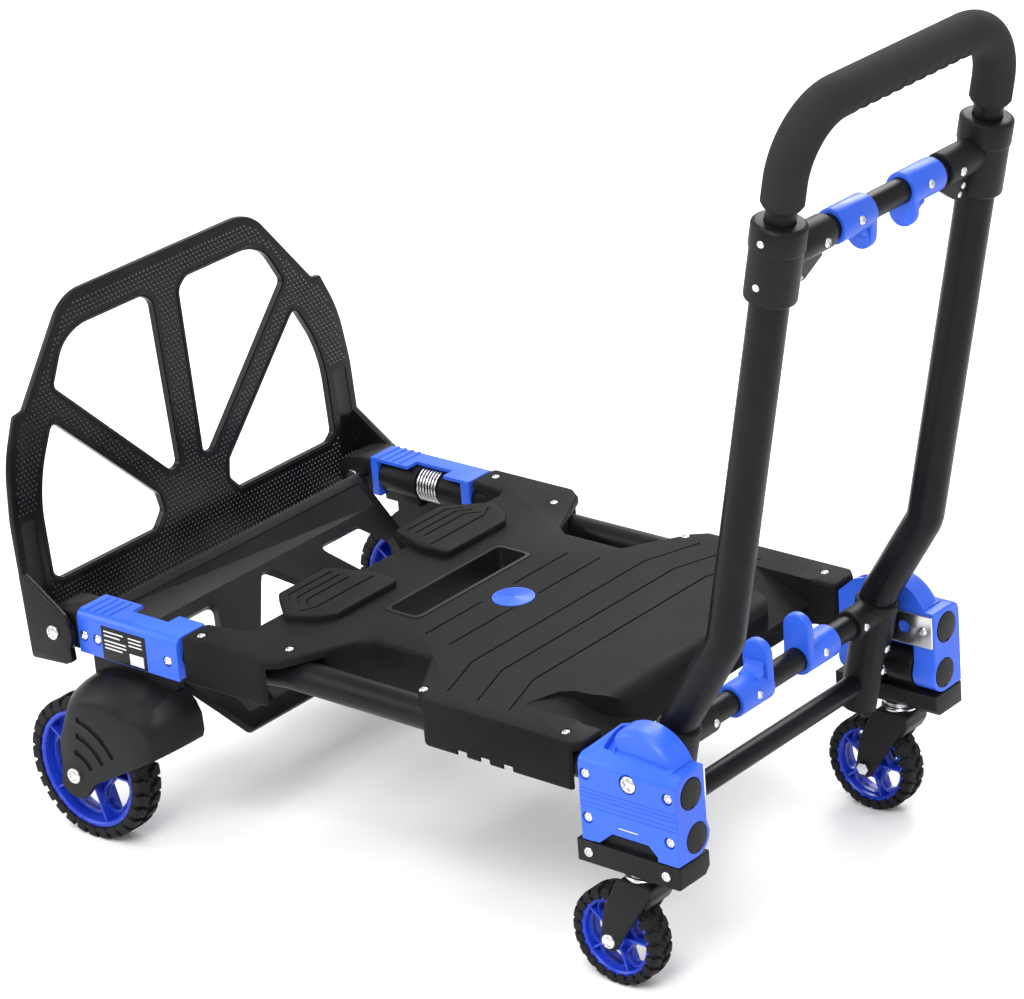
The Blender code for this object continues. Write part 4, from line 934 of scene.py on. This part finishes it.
def add_tubes(name, s):
    y = s * HUB_Y
    path = rounded_path([hub_at(y, 234), hub_at(y, 262), on_line(y, 144), on_line(y, 560)], 46, 12)
    place(f"tube_lower_{name}", sweep(path, 18, 56, 16.3), STEEL, "handle", [f"lower_tube_{name}"])
    collar = rod(on_line(y, 492), on_line(y, 566), 24, 3.0, 64)
    upper = rod(on_line(y, 540), on_line(y, 565.5), 25.2, 3.0, 64)
    arm = rod(on_line(s * 88, CROSS_S), on_line(s * 140, CROSS_S), 16.2, 1.5, 48)
    tilt_move = Matrix.Translation(on_line(0, 0)) @ Matrix.Rotation(TILT, 4, "Y")
    web = [(s * 92, 520), (s * 140, 522), (s * 140, 496), (s * 116, 496), (s * 92, 512)]
    gusset = slab(round_outline(web, 3), "YZ", -5, 5, 1.0)
    gusset.transform(tilt_move)
    cuts = [rod(on_line(y, 485), on_line(y, 560), 18.4, 0.2, 56),
            rod(on_line(y, 556), on_line(y, 572), 14.5, 0.2, 56),
            rod(on_line(s * 80, CROSS_S), on_line(s * 130, CROSS_S), 12.4, 0.2, 40)]
    place(f"collar_body_{name}", collar, PLASTIC, "handle", [f"collar_{name}"], add=[upper, arm, gusset],
          cut=cuts)
    front = Vector((math.cos(TILT), 0, -math.sin(TILT)))
    spots = [(on_line(s * 126, 508) + front * 5, front, 3.6),
             (on_line(s * 104, CROSS_S) + front * 16, front, 4.4),
             (on_line(s * 122, 500) + front * 5, front, 3.2),
             (on_line(y, 552) + Vector((0, s * 25, 0)), (0, s, 0), 3.6),
             (on_line(y, 510) + Vector((0, s * 23.8, 0)), (0, s, 0), 3.6)]
    screws(f"collar_screws_{name}", "handle", spots)


def add_hook(kind, name, centre, s, reach):
    """A sleeve on a crossbar with a round-ended flange at its inner end; reach is signed."""
    x, y, z = centre
    way = 1 if reach > 0 else -1
    half = 15.0 if way > 0 else 14.0
    sleeve = cross_rod(s, x, z, 28, 78, 16.6, 1.8, 56)
    outline = [(x - 15.5, z), (x + 15.5, z)] + arc((x, z + reach - way * half), half, 0, way * 180, 20)
    flange = side_slab(s, outline, (27.6, 37), 2.0)
    fillet = [(37.5, 12), (37.5, 27), (38.6, 22), (40.6, 19), (44, 16.8), (49, 15.5), (49, 12)]
    fillet = slab([(s * a, z + way * b) for a, b in fillet], "YZ", x - 11.5, x + 11.5, 0.8)
    bore = rod((x, y - s * 40, z), (x, y + s * 40, z), 12.4, 0.2, 48)
    place(f"{kind}_hook_body_{name}", sleeve, BLUE, "handle", [f"{kind}_hook_{name}"], add=[flange, fillet],
          cut=[bore])
    screws(f"{kind}_hook_screw_{name}", "handle", [(Vector((x + 16.2, s * 53, z + 1)), (1, 0, 0.05), 4.0)])


def add_handle():
    for name, s in SIDES:
        add_hub(name, s)
        add_tubes(name, s)
        add_hook("lower", name, (BAR_X, s * HOOK_Y, BAR_Z), s, 47)
        add_hook("upper", name, on_line(s * HOOK_Y, CROSS_S), s, -34)
    low = sweep([(BAR_X, -128, BAR_Z), (BAR_X, 128, BAR_Z)], 12, 48, 10.4)
    place("crossbar_low", low, STEEL, "handle", ["lower_crossbar"])
    high = sweep([on_line(-128, CROSS_S), on_line(128, CROSS_S)], 12, 48, 10.4)
    place("crossbar_high", high, STEEL, "handle", ["upper_crossbar"])
    x, z = PEDAL
    pedal = [rod((x, -136.8, z), (x, 136.8, z), 11, 1.2, 48), rod((x, -149, z), (x, 149, z), 5, 0.5, 24)]
    place("release_pedal", pedal, STEEL, "release", ["release_bar"])
    ends = [on_line(-HUB_Y, 200), on_line(-HUB_Y, GRIP_S), on_line(HUB_Y, GRIP_S), on_line(HUB_Y, 200)]
    place("tube_upper", sweep(rounded_path(ends, 62, 18), 14, 48, 12.6), STEEL, "grip", ["upper_handle_tube"])
    grip = [on_line(-HUB_Y, 580), ends[1], ends[2], on_line(HUB_Y, 580)]
    path = rounded_path(grip, 62, 22, 2.0)
    down = Vector((-math.sin(TILT), 0, -math.cos(TILT)))

    def foam(point, outward, index):
        edge = min(index, len(path) - 1 - index)
        soft = 2.5 * max(0.0, 1 - edge / 2.0)
        fade = max(0.0, min(1.0, (92 - abs(point.y)) / 10))
        under = max(0.0, outward.dot(down)) ** 0.6
        ridge = 0.5 - 0.5 * math.cos(2 * math.pi * point.y / 17.0)
        return 19.5 - soft - 3.4 * fade * under * ridge

    sleeve = place("foam_sleeve", sweep(path, 19.5, 48, 14.4, foam), FOAM, "grip", ["foam_grip"])


# ---------------------------------------------------------------- studio

def add_studio():
    mesh = bpy.data.meshes.new("floor")
    bm = bmesh.new()
    bmesh.ops.create_grid(bm, x_segments=1, y_segments=1, size=30)
    bm.to_mesh(mesh)
    bm.free()
    floor = add_object("floor", mesh)
    white = shader_material("studio_floor", (0.90, 0.90, 0.90), 0.9, bump=0.0, shade=0.005, spread=0.0)
    mesh.materials.append(white)
    world = bpy.data.worlds.new("studio")
    bpy.context.scene.world = world
    world.use_nodes = True
    set_inputs(world.node_tree.nodes["Background"], Color=(1, 1, 1, 1), Strength=0.95)
    target = Vector((0, 0, 0.35))
    for name, where, size, power in (("key", (1.2, -2.4, 3.0), 1.6, 95), ("fill", (-2.6, -1.8, 1.8), 1.8, 40),
                                     ("rim", (-1.0, 2.6, 2.4), 1.6, 60), ("top", (0.2, 0, 3.6), 2.0, 50)):
        data = bpy.data.lights.new(name, "AREA")
        data.size = size
        data.energy = power
        lamp = add_object(name, data)
        lamp.location = where
        lamp.rotation_euler = (target - Vector(where)).to_track_quat("-Z", "Y").to_euler()
    bpy.context.scene.view_settings.view_transform = "Standard"


def add_camera():
    """The camera stands in front of the left side, looking down a little."""
    turn, tip, roll = math.radians(41.2), math.radians(23.2), math.radians(-4.5)
    aim = Vector((-CENTRE_X, -5.6, 354.9)) * MM
    back = Vector((math.sin(turn) * math.cos(tip), -math.cos(turn) * math.cos(tip), math.sin(tip)))
    level = Vector((math.cos(turn), math.sin(turn), 0))
    above = back.cross(level)
    across = level * math.cos(roll) + above * math.sin(roll)
    upward = above * math.cos(roll) - level * math.sin(roll)
    data = bpy.data.cameras.new("camera")
    data.lens = 148.7
    data.sensor_width = 36.0
    camera = add_object("camera", data)
    rotation = Matrix((across, upward, back)).transposed().to_4x4()
    camera.matrix_world = Matrix.Translation(aim + back * 4.1242) @ rotation
    bpy.context.scene.camera = camera


add_deck()
for side_name, side in SIDES:
    add_rail(side_name, side)
    add_rear_bracket(side_name, side)
    add_end_fitting(side_name, side)
    add_front_cover(side_name, side)
    add_caster(side_name, side)
    add_wheel_carrier(side_name, side)
add_brace()
add_toe()
add_handle()
add_studio()
add_camera()

bpy.context.view_layer.update()
